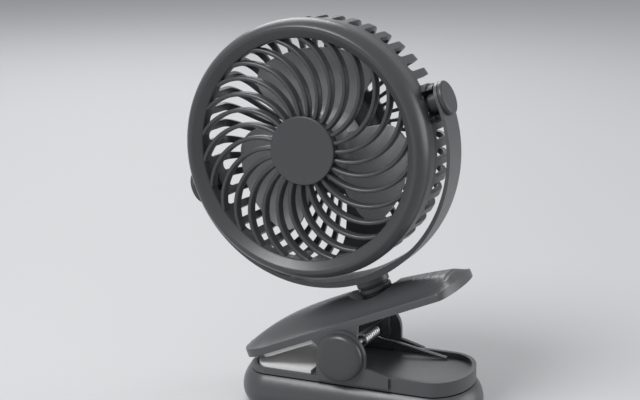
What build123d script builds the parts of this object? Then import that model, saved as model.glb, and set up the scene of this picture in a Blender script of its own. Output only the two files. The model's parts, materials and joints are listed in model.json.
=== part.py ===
from build123d import *
import math
import os

# A small clip fan: a round caged head, hung in a half-ring yoke, that swivels on the upper jaw of a
# sprung clip. Frame: millimetres, +Z up, X along the clip towards its handles, Y away from the viewer.
# The origin lies on the table, straight below the pin of the clip.

# ---- Where things are ----
CLIP_TILT = 23.09                    # slope of the upper jaw and of the tipping axis, degrees
HEAD_CENTRE = (-26.1, 0, 155)        # the point where the tipping axis crosses the fan's own axis
HEAD_TILT = 2.2                      # the fan's face looks up by this much, degrees
PIN_HEIGHT = 38.2
PIN_ALONG = -21.8                    # the clip's pin, measured along the upper jaw from the neck
PIN_DROP = 117.7                     # and down from the head's centre, square to the upper jaw

# ---- Fan head: r is measured from the fan's axis, d is the depth behind the front-most edge ----
TIP_AXIS_DEPTH = 28.7
GUARD_R = 75.0
GUARD_MOUTH_R = 63.9
GUARD_WALL = 2.0
SEAM_D = 20.6
CREST_R = 69.8                       # the bezel's front-most circle
CREST_D = 0.3
WIDEST_D = 11.0
MOUTH_D = (4.6, 11.6)                # front and back edge of the bezel's inner wall
RIB_COUNT = 26
RIB_START_R = 19.8
RIB_FIRST = -7.2                     # where the first rib leaves the ring in the middle, degrees
RIB_BEND_R = 32.7
RIB_SWEEP = 97.0
RIB_WIDTH = 2.4
RIB_FRONT_D = 4.8
RIB_BACK_D = 10.8
RING_R = (18.0, 19.6)
RING_PLATE_D = 6.6
CAP_PEG_R = 5.9
CAP_FACE_D = (3.2, 4.75)
CAP_PEG_END_D = 8.5
CAGE_R = 73.5
CAGE_WALL = 3.0
CAGE_BACK_D = 57.0
CAGE_CORNER_R = 14.0
SLOT_COUNT = 44                      # places for slots, all round
SLOT_FIRST = 13.5                    # middle of one of them, degrees
SLOT_WIDE = 5.2                      # angular width of a slot, degrees
SLOT_START_R = 36.0
SLOT_TWIST = 8.5                     # how far a slot leans round between its inner and its outer end, degrees
SLOT_SIDE_D = 26.5
SLOT_SIDE_D_AT_BOSS = 42.0
SLOT_BESIDE_BOSS = 10.0              # slots this near to the tipping axis start behind the boss, degrees
BRIDGE = (-108.5, -77.5)             # the sector at the bottom that has no slots, degrees
REBATE_R = 71.9                      # the cage's front edge slips into the guard up to here
REBATE_LONG = 3.0
SEAM_GAP = 0.2
BOSS_R = 9.9
BOSS_END = 79.8
SHOULDER_R = 11.4
SHOULDER_END = 76.0
SLEEVE_R = 5.5                       # the round core of a boss, seen through the window in front of it
WINDOW_HALF = 6.0
WINDOW_D = (20.0, 28.7)
PIVOT_SCREW_R = 1.95
PIVOT_THREAD = (1.5, 7.1)            # radius and length of the screw's thread
PIVOT_HEAD = (3.5, 1.3)
PIVOT_WASHER_R = 6.4
PIVOT_RECESS = (3.4, 0.8, 0.9)       # length, width and depth of each arm of the cross
CUP_R = 28.0                         # the pocket for the electrics at the back of the hub
CUP_WALL = 2.0
CUP_FRONT_D = 44.0
CUP_FLOOR_D = 46.2
COVER_D = (55.6, 58.2)
COVER_RIM = 0.6
COVER_SCREW_R = 1.1
COVER_SCREW_HEAD = (2.5, 1.3)        # radius and height
COVER_SCREW_END_D = 49.0
COVER_POST = (2.6, 47.5)             # radius, and where its bore ends
COVER_POST_R = 22.8
COVER_POST_ANGLES = (90, 210, 330)
BLADE_COUNT = 3
BLADE_TIP_R = 56.0
BLADE_HALF_ANGLE = 40.0
BLADE_FIRST = 75.0                   # middle of the first blade, degrees counter-clockwise from +X
BLADE_THICK = 1.6
HUB_R = 21.5
HUB_D = (22.5, 41.5)
HUB_WALL = 1.8
HUB_BOSS = (3.6, 29.6)               # radius and end of the boss that holds the shaft
BLADE_ROOT = (16.0, 17.0, 40.0, 24.0)    # distance, half chord, depths of the two edges
BLADE_END = (58.0, 48.0, 42.5, 18.5)
BLADE_CORNER = 12.0
MOTOR_R = 12.2
MOTOR_D = (31.6, 43.9)
MOTOR_NECK = (3.5, 1.2)              # radius and length of the bearing's neck
MOTOR_CAN_END_D = 42.3
MOTOR_CAN_WALL = (0.6, 0.8)          # round the side and at the front
MOTOR_SEAT = (0.1, 38.0, 44.2)       # clearance, and where the seat begins and ends
MAGNET = ((9.7, 11.5), (33.0, 41.8), 5.0)    # radii, depths, gap between the halves
ROTOR = (9.3, 34.0, 41.0)
ROTOR_GROOVE = (9.0, 1.4)
SHAFT_R = 1.0
SHAFT_D = (24.3, 43.3)
RUNNING = 0.06                       # radial clearance of a running fit
BUTTON_AT = (0, 7)
BUTTON_R = 5.4
BUTTON_D = (54.35, 55.25, 59.2)      # front and back of its flange, and its end
BUTTON_FLANGE = 1.0
BUTTON_ROUND = 0.5
SWITCH = (6.0, 53.4)                 # side of the square body, and where it ends
SWITCH_WELL = (1.8, 51.0)
PLUNGER = (1.7, 51.9, 54.3)
SOCKET_AT = (0, -9)
SOCKET_OUTSIDE = (9.0, 3.3)
SOCKET_INSIDE = (8.4, 2.6)
SOCKET_LONG = 7.4
SOCKET_TONGUE = (6.7, 0.7, 6.0)
LENS_AT = (10, 6)
LENS_STEM = (1.5, 53.2)
LENS_FLANGE = (2.1, 52.4, 53.3)
LIGHT = (2.0, 1.4, 51.2)
BOARD_D = (48.8, 50.0)
BOARD_SIDE = 30.0
BOARD_POST = (1.9, 46.8)             # radius, and where its bore ends
BOARD_SCREW_R = 0.8
BOARD_SCREW_HEAD = (1.8, 1.2)
BOARD_SCREW_END_D = 47.0
BOARD_SCREWS_AT = ((12, 11), (-12, -13))
WIRE_SKIN_R = 0.7
WIRE_HOLE_R = 1.2
WIRES_AT = ((7, 0), (-7, 0))

# ---- Yoke and neck ----
STRAP_OUTER = (82.5, 1.5)            # radius, and how far its centre lies below the tipping axis
STRAP_INNER = (80.7, 0.8)
STRAP_HALF_WIDTH = 9.9
PAD_X = (80.5, 82.5)
KNOB_STEM_R = 8.2
KNOB_R = 10.0
KNOB_X = (83.1, 85.6)                # the drum of the knob; its stem reaches in to the strap
KNOB_ROUND = 1.2
KNOB_HOLLOW = (4.2, 1.8)             # radius and depth of the room for the screw's head
NECK_R = 9.85
COLLAR_L = (84.0, 87.4)              # L is the distance from the head's centre down the neck
WASHER_L = (87.45, 88.25)
NECK_L = (88.3, 91.5, 97.0)
NECK_WASHER_R = 8.6
NECK_STEM_R = (8.9, 8.2)
NECK_PLUG = (5.0, 99.1)              # radius and lower end of the plug in the jaw
NECK_SCREW_R = 2.0
NECK_SCREW_L = (81.7, 104.0)
NECK_SCREW_HEAD_R = 4.0
NECK_RECESS = (4.0, 0.8, 1.0)
NUT_WASHER = (5.4, 0.8)              # radius and thickness
NUT = (4.0, 3.0)                     # radius over its corners, and height

# ---- Upper jaw, in the neck's frame ----
JAW_HALF_WIDTH = 28.0
JAW_NOSE = (-90.5, 19.0)             # where the rounded end reaches, and how long its rounding is
JAW_TAIL = (53.5, 7.0)
JAW_EDGE_H = -103.9
JAW_CREASE_H = -100.4
JAW_CROWN = 11.8
JAW_CROWN_AT = -18.0
JAW_WALL = 2.2
JAW_SCREWS_AT = ((-62, 14), (-62, -14), (38, 14), (38, -14))
JAW_BOSS = (3.0, -101.4, -93.4)      # radius, lower and upper end
JAW_BOSS_BORE = (1.2, -103.0, -97.0)
DISH = (11.5, 23.0, 20.0)            # radius at its floor, radius at its top, height
GROOVES = (5, 27.5, 5.2)             # count, first place and step of the grip grooves
GROOVE_R = 10.3
GROOVE_DEEP = 0.7
GROOVE_LONG = 26.0
LINER_THICK = 2.4
LINER_GAP = 0.15
LINER_NOTCH_WIDE = 4.4
LINER_HOLE_R = 6.2                   # room for the nut
LINER_SCREW = (1.2, 4.6)             # radius and length of the shank
LINER_SCREW_HEAD = (2.5, 1.2)
TOP_PAD_NOSE = (-81.1, 15.0)
TOP_PAD_END = -38.0
TOP_PAD_INSET = 1.6
TOP_PAD_THICK = 2.3
EAR_FOOT = (-37.0, -6.0)
EAR_R = 9.0
EAR_THICK = 2.8

# ---- Lower jaw and base ----
BASE_HALF_WIDTH = 29.0
BASE_NOSE = (-67.0, 18.0)
BASE_TAIL = (70.0, 20.0)
BAND_BOTTOM = 20.5
DECK_TOP = 23.7
TRAY_FLOOR = 25.9
RIM_TOP = 29.0
RIM_WALL = 2.6
STEP_AT = -14.0                      # the deck lies before it, the tray's rim behind it
TRAY_FROM = -12.0
TRAY_PLATE = 2.2
UNDER_INSET = 5.0
UNDER_DEEP = 1.0
EAR_ROOM = (23.0, 26.4, 4.2)         # length, place across and width of the room for an upper ear
LOW_PAD_NOSE = (-64.0, 16.0)
LOW_PAD_END = -20.5
LOW_PAD_INSET = 1.0
LOW_PAD_TOP = 25.7
LOW_EAR_Y = (28.4, 31.2)
LOW_EAR_R = 15.0
LOW_EAR_SHAPE = ((-15, 22.5), (29.5, 22.5), (29.5, 29.0), (15, 32.8), (15, PIN_HEIGHT), (-15, PIN_HEIGHT))
BASE_SCREWS_AT = ((-48, 14), (-48, -14), (48, 14), (48, -14))
BASE_POST_R = 3.4
BASE_SCREW = (1.3, 4.6, 22.6)        # radius, lower and upper end of the shank
BASE_SCREW_HEAD = (2.6, 3.5, 4.9)    # radius, lower and upper end
BASE_SCREW_ROOM = (1.45, 2.8, 5.0)   # radius of the hole, radius and top of the sunk room for the head
BASE_WALL = 2.4
BASE_FLOOR = 3.2
SOLE_INSET = 6.0
SOLE_THICK = 1.55
CAP_R = 13.4
CAP_Y = (31.3, 36.4)
CAP_ROUND = 2.4
CAP_ROOM = (3.5, 2.2)                # radius and depth of the room for the pin's end
PIN_R = 2.0
PIN_HALF = 32.5
PIN_HEAD = (3.0, 31.3, 32.7)
PIN_GROOVE = (1.5, 31.9, 0.7)        # radius left in the groove, its middle and its width
PIN_CLIP = (3.2, 0.6, 1.8)           # radius, thickness and gap
BULGE = ((19.7, 0.0), (16.0, 2.8), (11.0, 4.4), (6.0, 4.3), (2.8, 3.0), (1.0, 0.6))  # height, bulge outwards

# ---- Spring ----
WIRE_R = 0.9
COIL_R = 3.35
COIL_PITCH = 2.7
COIL_TURNS = 9
COIL_END_Y = 22.2
LOW_LEG_FALL = 9.6                   # slope of the leg that lies in the tray, degrees
LOW_LEG_LONG = 47.6
HIGH_LEG_LONG = 34.0

UPPER = Location(HEAD_CENTRE, (0, -CLIP_TILT, 0))
HEAD = UPPER * Rot(-HEAD_TILT, 0, 0) * Rot(90, 0, 0)
PIN_FRAME = Location((0, 0, PIN_HEIGHT))


def save(name, *solids):
    """Writes one node; several solids stay separate in one group."""
    shape = solids[0] if len(solids) == 1 else Compound(children=list(solids))
    export_step(shape, f"parts/{name}.step")


def depth(d):
    return TIP_AXIS_DEPTH - d


def lathe(*outline):
    """A solid turned about the fan's axis from (r, d) points."""
    points = [(r, 0, depth(d)) for r, d in outline]
    return revolve(make_face(Polyline(*points, close=True)), Axis.Z, 360)


def disc(r, front_d, back_d, at=(0, 0)):
    """A round bar along the fan's axis between two depths."""
    middle = (depth(front_d) + depth(back_d)) / 2
    return Pos(at[0], at[1], middle) * Cylinder(r, abs(back_d - front_d))


def block(wide, high, front_d, back_d, at=(0, 0)):
    middle = (depth(front_d) + depth(back_d)) / 2
    return Pos(at[0], at[1], middle) * Box(wide, high, abs(back_d - front_d))


def polar(r, angle):
    return (r * math.cos(math.radians(angle)), r * math.sin(math.radians(angle)))


# ---------------------------------------------------------------- fan head

def front_guard():
    """Rounded bezel with the curved ribs and the hub they spring from, one moulding."""
    crest = (CREST_R, 0, depth(CREST_D))
    widest = (GUARD_R, 0, depth(WIDEST_D))
    inner_crest = (CREST_R, 0, depth(CREST_D + GUARD_WALL))
    inner_widest = (GUARD_R - GUARD_WALL, 0, depth(WIDEST_D))
    outer_bend = ThreePointArc(crest, (GUARD_R - 1.3, 0, depth(CREST_D + 3.6)), widest)
    inner_bend = ThreePointArc(inner_widest, (GUARD_R - 2.9, 0, depth(CREST_D + 5.0)), inner_crest)
    lip = GUARD_MOUTH_R + GUARD_WALL
    mouth_front, mouth_back = MOUTH_D
    hem = GUARD_R - 1.0
    straight = [(hem, SEAM_D), (hem - GUARD_WALL, SEAM_D)]
    inner_wall = [(lip, mouth_front + 1.4), (lip, mouth_back), (GUARD_MOUTH_R, mouth_back)]
    inner_wall += [(GUARD_MOUTH_R, mouth_front)]
    section = outer_bend + inner_bend
    section += Polyline(widest, *[(r, 0, depth(d)) for r, d in straight], inner_widest)
    section += Polyline(inner_crest, *[(r, 0, depth(d)) for r, d in inner_wall], crest)
    guard = revolve(make_face(section), Axis.Z, 360)
    ring_in, ring_out = RING_R
    hub = lathe(
        (CAP_PEG_R + RUNNING, RIB_FRONT_D), (ring_out, RIB_FRONT_D), (ring_out, RIB_BACK_D),
        (ring_in, RIB_BACK_D), (ring_in, RING_PLATE_D), (CAP_PEG_R + RUNNING, RING_PLATE_D),
    )
    overlap = 1.5
    start = math.degrees(-overlap / RIB_BEND_R)
    sweep = RIB_SWEEP + math.degrees(2 * overlap / RIB_BEND_R)
    strip = Circle(RIB_BEND_R + RIB_WIDTH / 2) - Circle(RIB_BEND_R - RIB_WIDTH / 2)
    far = 3 * RIB_BEND_R
    sector = make_face(
        Line((0, 0), (0, -far)).rotate(Axis.Z, start)
        + RadiusArc(
            tuple(Vector(0, -far, 0).rotate(Axis.Z, start)),
            tuple(Vector(0, -far, 0).rotate(Axis.Z, start + sweep)),
            -far,
        )
        + Line((0, 0), (0, -far)).rotate(Axis.Z, start + sweep)
    )
    rib = extrude(strip & sector, RIB_BACK_D - RIB_FRONT_D)
    rib = Pos(RIB_START_R, RIB_BEND_R, depth(RIB_BACK_D)) * rib
    ribs = [rib.rotate(Axis.Z, RIB_FIRST + i * 360 / RIB_COUNT) for i in range(RIB_COUNT)]
    return guard.fuse(hub, *ribs)


def centre_cap():
    edge = 0.5
    front, back = CAP_FACE_D
    r = RIB_START_R
    face = lathe((0, front), (r - edge, front), (r, front + edge), (r, back), (0, back))
    return face + disc(CAP_PEG_R, back - 0.05, CAP_PEG_END_D)


def slot_cutter(angle, from_d):
    half = SLOT_WIDE / 2
    inner = angle + SLOT_TWIST / 2
    outer = angle - SLOT_TWIST / 2
    far = CAGE_R + 6
    corners = [polar(SLOT_START_R, inner - half), polar(far, outer - half)]
    corners += [polar(far, outer + half), polar(SLOT_START_R, inner + half)]
    outline = make_face(Polyline(*corners, close=True))
    return Pos(0, 0, depth(CAGE_BACK_D + 3)) * extrude(outline, CAGE_BACK_D + 3 - from_d)


def slot_angles():
    """Middle of every slot, with the depth that it starts from on the side of the cage."""
    for i in range(SLOT_COUNT):
        angle = SLOT_FIRST + i * 360 / SLOT_COUNT
        turned = (angle + 180) % 360 - 180
        if BRIDGE[0] < turned < BRIDGE[1]:
            continue
        at_side = turned - SLOT_TWIST * 0.36
        from_axis = min(abs(at_side), abs(abs(at_side) - 180))
        yield turned, SLOT_SIDE_D_AT_BOSS if from_axis < SLOT_BESIDE_BOSS else SLOT_SIDE_D


def rear_cage():
    """Bowl with swept slots, side bosses, a seat for the motor and a pocket for the electrics."""
    inside = CAGE_R - CAGE_WALL
    back = CAGE_BACK_D - CAGE_WALL
    corner_r = CAGE_CORNER_R
    bend_mid = corner_r * math.sqrt(0.5)
    centre_r, centre_d = CAGE_R - corner_r, CAGE_BACK_D - corner_r
    inner_mid = (corner_r - CAGE_WALL) * math.sqrt(0.5)
    outer_bend = ThreePointArc(
        (CAGE_R, 0, depth(centre_d)),
        (centre_r + bend_mid, 0, depth(centre_d + bend_mid)),
        (centre_r, 0, depth(CAGE_BACK_D)),
    )
    inner_bend = ThreePointArc(
        (centre_r, 0, depth(back)),
        (centre_r + inner_mid, 0, depth(centre_d + inner_mid)),
        (inside, 0, depth(centre_d)),
    )
    front = SEAM_D - REBATE_LONG
    seam = SEAM_D + SEAM_GAP
    corners = [(inside, centre_d), (inside, front), (REBATE_R, front), (REBATE_R, seam)]
    corners += [(CAGE_R, seam), (CAGE_R, centre_d)]
    section = outer_bend + inner_bend
    section += Polyline(*[(r, 0, depth(d)) for r, d in corners])
    section += Polyline(
        (centre_r, 0, depth(CAGE_BACK_D)), (CUP_R, 0, depth(CAGE_BACK_D)), (CUP_R, 0, depth(back)),
        (centre_r, 0, depth(back)),
    )
    cuts = [slot_cutter(angle, from_d) for angle, from_d in slot_angles()]
    bowl = revolve(make_face(section), Axis.Z, 360).cut(*cuts)
    pocket = lathe(
        (CUP_R, CAGE_BACK_D), (CUP_R + CUP_WALL, CAGE_BACK_D - 1), (CUP_R + CUP_WALL, CUP_FRONT_D),
        (0, CUP_FRONT_D), (0, CUP_FLOOR_D), (CUP_R, CUP_FLOOR_D),
    )
    play, seat_front, seat_back = MOTOR_SEAT
    bore = MOTOR_R + play
    seat_r = bore + CUP_WALL
    seat = lathe((bore, seat_front), (seat_r, seat_front), (seat_r, seat_back), (bore, seat_back))
    cover_posts_at = [polar(COVER_POST_R, a) for a in COVER_POST_ANGLES]
    posts = [disc(COVER_POST[0], CUP_FLOOR_D - 0.2, COVER_D[0], at) for at in cover_posts_at]
    posts += [disc(BOARD_POST[0], CUP_FLOOR_D - 0.2, BOARD_D[0], at) for at in BOARD_SCREWS_AT]
    bosses = [cage_boss(side, inside - 1) for side in (1, -1)]
    cage = bowl.fuse(pocket, seat, *posts, *bosses)
    cuts = [boss_window(side, inside - 1) for side in (1, -1)]
    cuts += [disc(COVER_SCREW_R, COVER_POST[1], COVER_D[0] + 1, at) for at in cover_posts_at]
    cuts += [disc(BOARD_SCREW_R, BOARD_POST[1], BOARD_D[0] + 1, at) for at in BOARD_SCREWS_AT]
    cuts += [disc(WIRE_HOLE_R, CUP_FRONT_D - 1, CUP_FLOOR_D + 1, at) for at in WIRES_AT]
    thread_r, thread_long = PIVOT_THREAD
    cuts += [side_bar(side, thread_r, BOSS_END - thread_long - 5, BOSS_END + 1) for side in (1, -1)]
    return cage.cut(*cuts)


def side_bar(side, r, low, high):
    """A round bar along the tipping axis, between two distances from the fan's axis."""
    return Rot(0, side * 90, 0) * Pos(0, 0, (low + high) / 2) * Cylinder(r, high - low)


def cage_boss(side, root):
    """Boss with a broader shoulder, cut off flat where the guard's edge passes in front of it."""
    boss = side_bar(side, BOSS_R, root, BOSS_END) + side_bar(side, SHOULDER_R, root, SHOULDER_END)
    return boss - block(4 * CAGE_R, 4 * SHOULDER_R, 0, SEAM_D + SEAM_GAP)


def boss_window(side, root):
    """The opening in the front of a boss, round its core."""
    front, back = WINDOW_D
    window = block(BOSS_END - root + 2, 2 * WINDOW_HALF, front, back, (side * (BOSS_END + root) / 2, 0))
    return window - side_bar(side, SLEEVE_R, root - 2, BOSS_END + 2)


def hub_cover():
    """Round cover over the electrics, with holes for the button, the lens, the socket and three screws."""
    front, back = COVER_D
    r = CUP_R - 0.3
    plate = lathe((0, front), (r, front), (r, back - COVER_RIM), (r - COVER_RIM, back), (0, back))
    holes = [disc(BUTTON_R + 0.2, front - 1, back + 1, BUTTON_AT)]
    holes += [disc(LENS_STEM[0] + 0.1, front - 1, back + 1, LENS_AT)]
    long, high = SOCKET_OUTSIDE
    slot = extrude(SlotOverall(long + 0.6, high + 0.6), back - front + 2)
    head_r, head_high = COVER_SCREW_HEAD
    for angle in COVER_POST_ANGLES:
        at = polar(COVER_POST_R, angle)
        holes += [disc(COVER_SCREW_R + 0.2, front - 1, back + 1, at)]
        holes += [disc(head_r + 0.4, back - head_high, back + 1, at)]
    return plate.cut(Pos(*SOCKET_AT, depth(back + 1)) * slot, *holes)


def cover_screws():
    head_r, head_high = COVER_SCREW_HEAD
    top = COVER_D[1] + 0.1
    under = top - head_high
    return [
        disc(head_r, under - 0.1, top, at) + disc(COVER_SCREW_R, COVER_SCREW_END_D, under, at)
        for at in (polar(COVER_POST_R, a) for a in COVER_POST_ANGLES)
    ]


def circuit_board():
    board = block(BOARD_SIDE, BOARD_SIDE, *BOARD_D, (0, -1))
    holes = [disc(BOARD_SCREW_R + 0.2, BOARD_D[0] - 1, BOARD_D[1] + 1, at) for at in BOARD_SCREWS_AT]
    return board.cut(*holes)


def board_screws():
    head_r, head_high = BOARD_SCREW_HEAD
    back = BOARD_D[1]
    return [
        disc(head_r, back, back + head_high, at) + disc(BOARD_SCREW_R, BOARD_SCREW_END_D, back + 0.1, at)
        for at in BOARD_SCREWS_AT
    ]


def switch_body():
    side, end = SWITCH
    well_r, well_from = SWITCH_WELL
    return block(side, side, BOARD_D[1], end, BUTTON_AT) - disc(well_r, well_from, end + 1, BUTTON_AT)


def switch_plunger():
    return disc(*PLUNGER, BUTTON_AT)


def power_button():
    front, step, end = BUTTON_D
    button = disc(BUTTON_R + BUTTON_FLANGE, front, step, BUTTON_AT)
    button += disc(BUTTON_R, step - 0.05, end, BUTTON_AT)
    return fillet(button.edges().group_by(Axis.Z)[0], BUTTON_ROUND)


def power_socket():
    tongue_wide, tongue_high, tongue_long = SOCKET_TONGUE
    shell = extrude(SlotOverall(*SOCKET_OUTSIDE), SOCKET_LONG)
    shell -= Pos(0, 0, -1) * extrude(SlotOverall(*SOCKET_INSIDE), SOCKET_LONG)
    tongue = Pos(0, 0, SOCKET_LONG - 0.8 - tongue_long / 2) * Box(tongue_wide, tongue_high, tongue_long)
    return Pos(*SOCKET_AT, depth(BOARD_D[1] + SOCKET_LONG)) * (shell + tongue)


def indicator_lens():
    stem_r, stem_from = LENS_STEM
    return disc(stem_r, stem_from, COVER_D[1] + 0.2, LENS_AT) + disc(*LENS_FLANGE, LENS_AT)


def indicator_light():
    wide, high, end = LIGHT
    return block(wide, high, BOARD_D[1], end, LENS_AT)


def motor_can():
    front = MOTOR_D[0]
    neck_r, neck_long = MOTOR_NECK
    side_wall, front_wall = MOTOR_CAN_WALL
    bore, inside, end = SHAFT_R + RUNNING, MOTOR_R - side_wall, MOTOR_CAN_END_D
    return lathe(
        (bore, front - neck_long), (neck_r, front - neck_long), (neck_r, front), (MOTOR_R, front),
        (MOTOR_R, end), (inside, end), (inside, front + front_wall), (bore, front + front_wall),
    )


def motor_end_cap():
    bore, front, back = SHAFT_R + RUNNING, MOTOR_CAN_END_D + 0.1, MOTOR_D[1]
    return lathe((bore, front), (MOTOR_R, front), (MOTOR_R, back), (bore, back))


def motor_magnets():
    (inner, outer), (front, back), gap = MAGNET
    ring = lathe((inner, front), (outer, front), (outer, back), (inner, back))
    return (ring - block(3 * outer, gap, front - 1, back + 1)).solids()


def motor_rotor():
    r, front, back = ROTOR
    long, wide = ROTOR_GROOVE
    core = lathe((SHAFT_R, front), (r, front), (r, back), (SHAFT_R, back))
    grooves = [block(long, wide, front - 1, back + 1, (long, 0)).rotate(Axis.Z, a) for a in (60, 180, 300)]
    return core.cut(*grooves)


def motor_shaft():
    return disc(SHAFT_R, *SHAFT_D)


def motor_wires():
    return [disc(WIRE_SKIN_R, MOTOR_D[1] + 0.05, BOARD_D[0] - 0.05, at) for at in WIRES_AT]


def impeller():
    """Hub cup with three broad twisted blades. It turns clockwise as seen from the front."""
    front, back = HUB_D
    boss_r, boss_end = HUB_BOSS
    hole_end = SHAFT_D[0] - 0.1
    hub = lathe(
        (0, front), (HUB_R - 4, front), (HUB_R - 1.2, front + 1.2), (HUB_R, front + 4), (HUB_R, back),
        (HUB_R - HUB_WALL, back), (HUB_R - HUB_WALL, front + 2), (boss_r, front + 2), (boss_r, boss_end),
        (SHAFT_R, boss_end), (SHAFT_R, hole_end), (0, hole_end),
    )
    plate = loft([blade_section(*BLADE_ROOT), blade_section(*BLADE_END)], ruled=True)
    blade = plate & blade_outline(BLADE_CORNER)
    blade -= disc(HUB_R - 1, front - 5, back + 5)
    blades = [blade.rotate(Axis.Z, BLADE_FIRST + i * 360 / BLADE_COUNT) for i in range(BLADE_COUNT)]
    return hub.fuse(*blades)


def blade_section(x, half_chord, trailing_d, leading_d):
    """A thin slanted strip at the distance x from the axis, square to the radius."""
    rise = depth(leading_d) - depth(trailing_d)
    slope = math.hypot(2 * half_chord, rise)
    lift = BLADE_THICK / 2 * slope / (2 * half_chord)
    low, high = depth(trailing_d), depth(leading_d)
    corners = [(x, -half_chord, low - lift), (x, half_chord, high - lift)]
    corners += [(x, half_chord, high + lift), (x, -half_chord, low + lift)]
    return make_face(Polyline(*corners, close=True))


def blade_outline(corner):
    """The blade as seen from the front: a sector with rounded outer corners, cut right through."""
    half = BLADE_HALF_ANGLE
    a, b = polar(HUB_R - 3, -half - 8), polar(BLADE_TIP_R, -half)
    c, d = polar(BLADE_TIP_R, half), polar(HUB_R - 3, half + 8)
    edge = Line(a, b) + ThreePointArc(b, (BLADE_TIP_R, 0), c) + Line(c, d) + Line(d, a)
    face = make_face(edge)
    outer = face.vertices().sort_by_distance((BLADE_TIP_R * 2, 0, 0))[:2]
    face = fillet(outer, corner)
    return Pos(0, 0, depth(50)) * extrude(face, 40)


def pivot_screw():
    """Shoulder screw that the head tips on: head, shoulder in the strap, thread in the boss."""
    head_r, head_high = PIVOT_HEAD
    thread_r, thread_long = PIVOT_THREAD
    head_low = PAD_X[1] + 0.05
    head = Pos(0, 0, head_low + head_high / 2) * Cylinder(head_r, head_high)
    shoulder = Pos(0, 0, (head_low + 0.1 + BOSS_END) / 2) * Cylinder(PIVOT_SCREW_R, head_low + 0.1 - BOSS_END)
    thread = Pos(0, 0, BOSS_END - thread_long / 2 + 0.05) * Cylinder(thread_r, thread_long)
    return head + shoulder + thread - Pos(0, 0, head_low + head_high) * cross(*PIVOT_RECESS)


def cross(long, wide, deep):
    """Cutter for a screwdriver's cross."""
    return Box(long, wide, 2 * deep) + Box(wide, long, 2 * deep)


def pivot_washer():
    thick = PAD_X[0] - BOSS_END
    washer = Cylinder(PIVOT_WASHER_R, thick) - Cylinder(PIVOT_SCREW_R + 0.1, 2 * thick)
    return Pos(0, 0, BOSS_END + thick / 2) * washer


# ---------------------------------------------------------------- yoke and neck

def yoke():
    """Half-ring strap with round flat ends for the tipping screws and a hole for the neck screw."""
    strap = strap_cylinder(STRAP_OUTER, 2 * STRAP_HALF_WIDTH)
    strap -= strap_cylinder(STRAP_INNER, 4 * STRAP_HALF_WIDTH)
    reach = STRAP_OUTER[0]
    strap &= Pos(0, 0, -reach) * Box(4 * reach, 4 * STRAP_HALF_WIDTH, 2 * reach)
    low, high = PAD_X
    for side in (1, -1):
        strap += side_bar(side, STRAP_HALF_WIDTH, low, high)
    for side in (1, -1):
        strap -= side_bar(side, PIVOT_SCREW_R + RUNNING, low - 1, high + 1)
    top = NECK_SCREW_L[0]
    sink = NECK_SCREW_HEAD_R - NECK_SCREW_R
    strap -= Pos(0, 0, -top - sink / 2) * Cone(NECK_SCREW_R + RUNNING, NECK_SCREW_HEAD_R + RUNNING, sink)
    strap -= Pos(0, 0, -top + 1) * Cylinder(NECK_SCREW_HEAD_R + RUNNING, 2)
    return strap - Pos(0, 0, -top) * Cylinder(NECK_SCREW_R + RUNNING, 12)


def strap_cylinder(surface, wide):
    r, drop = surface
    return Pos(0, 0, -drop) * Rot(90, 0, 0) * Cylinder(r, wide)


def yoke_cap():
    """Knob over a tipping screw: a drum on a short stem, hollow for the screw's head."""
    low, high = KNOB_X
    drum = Pos(0, 0, (low + high) / 2) * Cylinder(KNOB_R, high - low)
    drum = fillet(drum.edges().group_by(Axis.Z)[-1], KNOB_ROUND)
    stem = Pos(0, 0, (PAD_X[1] + low + 0.1) / 2) * Cylinder(KNOB_STEM_R, low + 0.1 - PAD_X[1])
    hollow_r, hollow_deep = KNOB_HOLLOW
    return drum + stem - Pos(0, 0, PAD_X[1]) * Cylinder(hollow_r, 2 * hollow_deep)


def yoke_collar():
    top, bottom = COLLAR_L
    saddle = 1.2
    collar = Pos(0, 0, -(bottom + top - saddle) / 2) * Cylinder(NECK_R, bottom - top + saddle)
    collar -= strap_cylinder(STRAP_OUTER, 60)
    return collar - Pos(0, 0, -bottom) * Cylinder(NECK_SCREW_R + RUNNING, 20)


def neck_washer():
    top, bottom = WASHER_L
    washer = Cylinder(NECK_WASHER_R, bottom - top) - Cylinder(NECK_SCREW_R + 0.1, 3)
    return Pos(0, 0, -(top + bottom) / 2) * washer


def neck_base():
    top, step, foot = NECK_L
    stem_top, stem_foot = NECK_STEM_R
    plug_r, plug_end = NECK_PLUG
    outline = [(NECK_SCREW_R, top), (NECK_R, top), (NECK_R, step), (stem_top, step), (stem_foot, foot)]
    outline += [(plug_r, foot), (plug_r, plug_end), (NECK_SCREW_R, plug_end)]
    points = [(r, 0, -level) for r, level in outline]
    return revolve(make_face(Polyline(*points, close=True)), Axis.Z, 360)


def neck_screw():
    """Countersunk screw, from the strap down to its nut inside the jaw."""
    top, end = NECK_SCREW_L
    sink = NECK_SCREW_HEAD_R - NECK_SCREW_R
    head = Pos(0, 0, -top - sink / 2) * Cone(NECK_SCREW_R, NECK_SCREW_HEAD_R, sink)
    shank = Pos(0, 0, -(top + 1 + end) / 2) * Cylinder(NECK_SCREW_R, end - top - 1)
    return head + shank - Pos(0, 0, -top) * cross(*NECK_RECESS)


def neck_nut_washer():
    r, thick = NUT_WASHER
    low = NECK_PLUG[1] + 0.1 + thick
    return Pos(0, 0, -low + thick / 2) * (Cylinder(r, thick) - Cylinder(NECK_SCREW_R, 3))


def neck_nut():
    across, high = NUT
    low = NECK_PLUG[1] + 0.15 + NUT_WASHER[1] + high
    return Pos(0, 0, -low) * (extrude(RegularPolygon(across, 6), high) - Cylinder(NECK_SCREW_R, 20))


# ---------------------------------------------------------------- upper jaw

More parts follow.
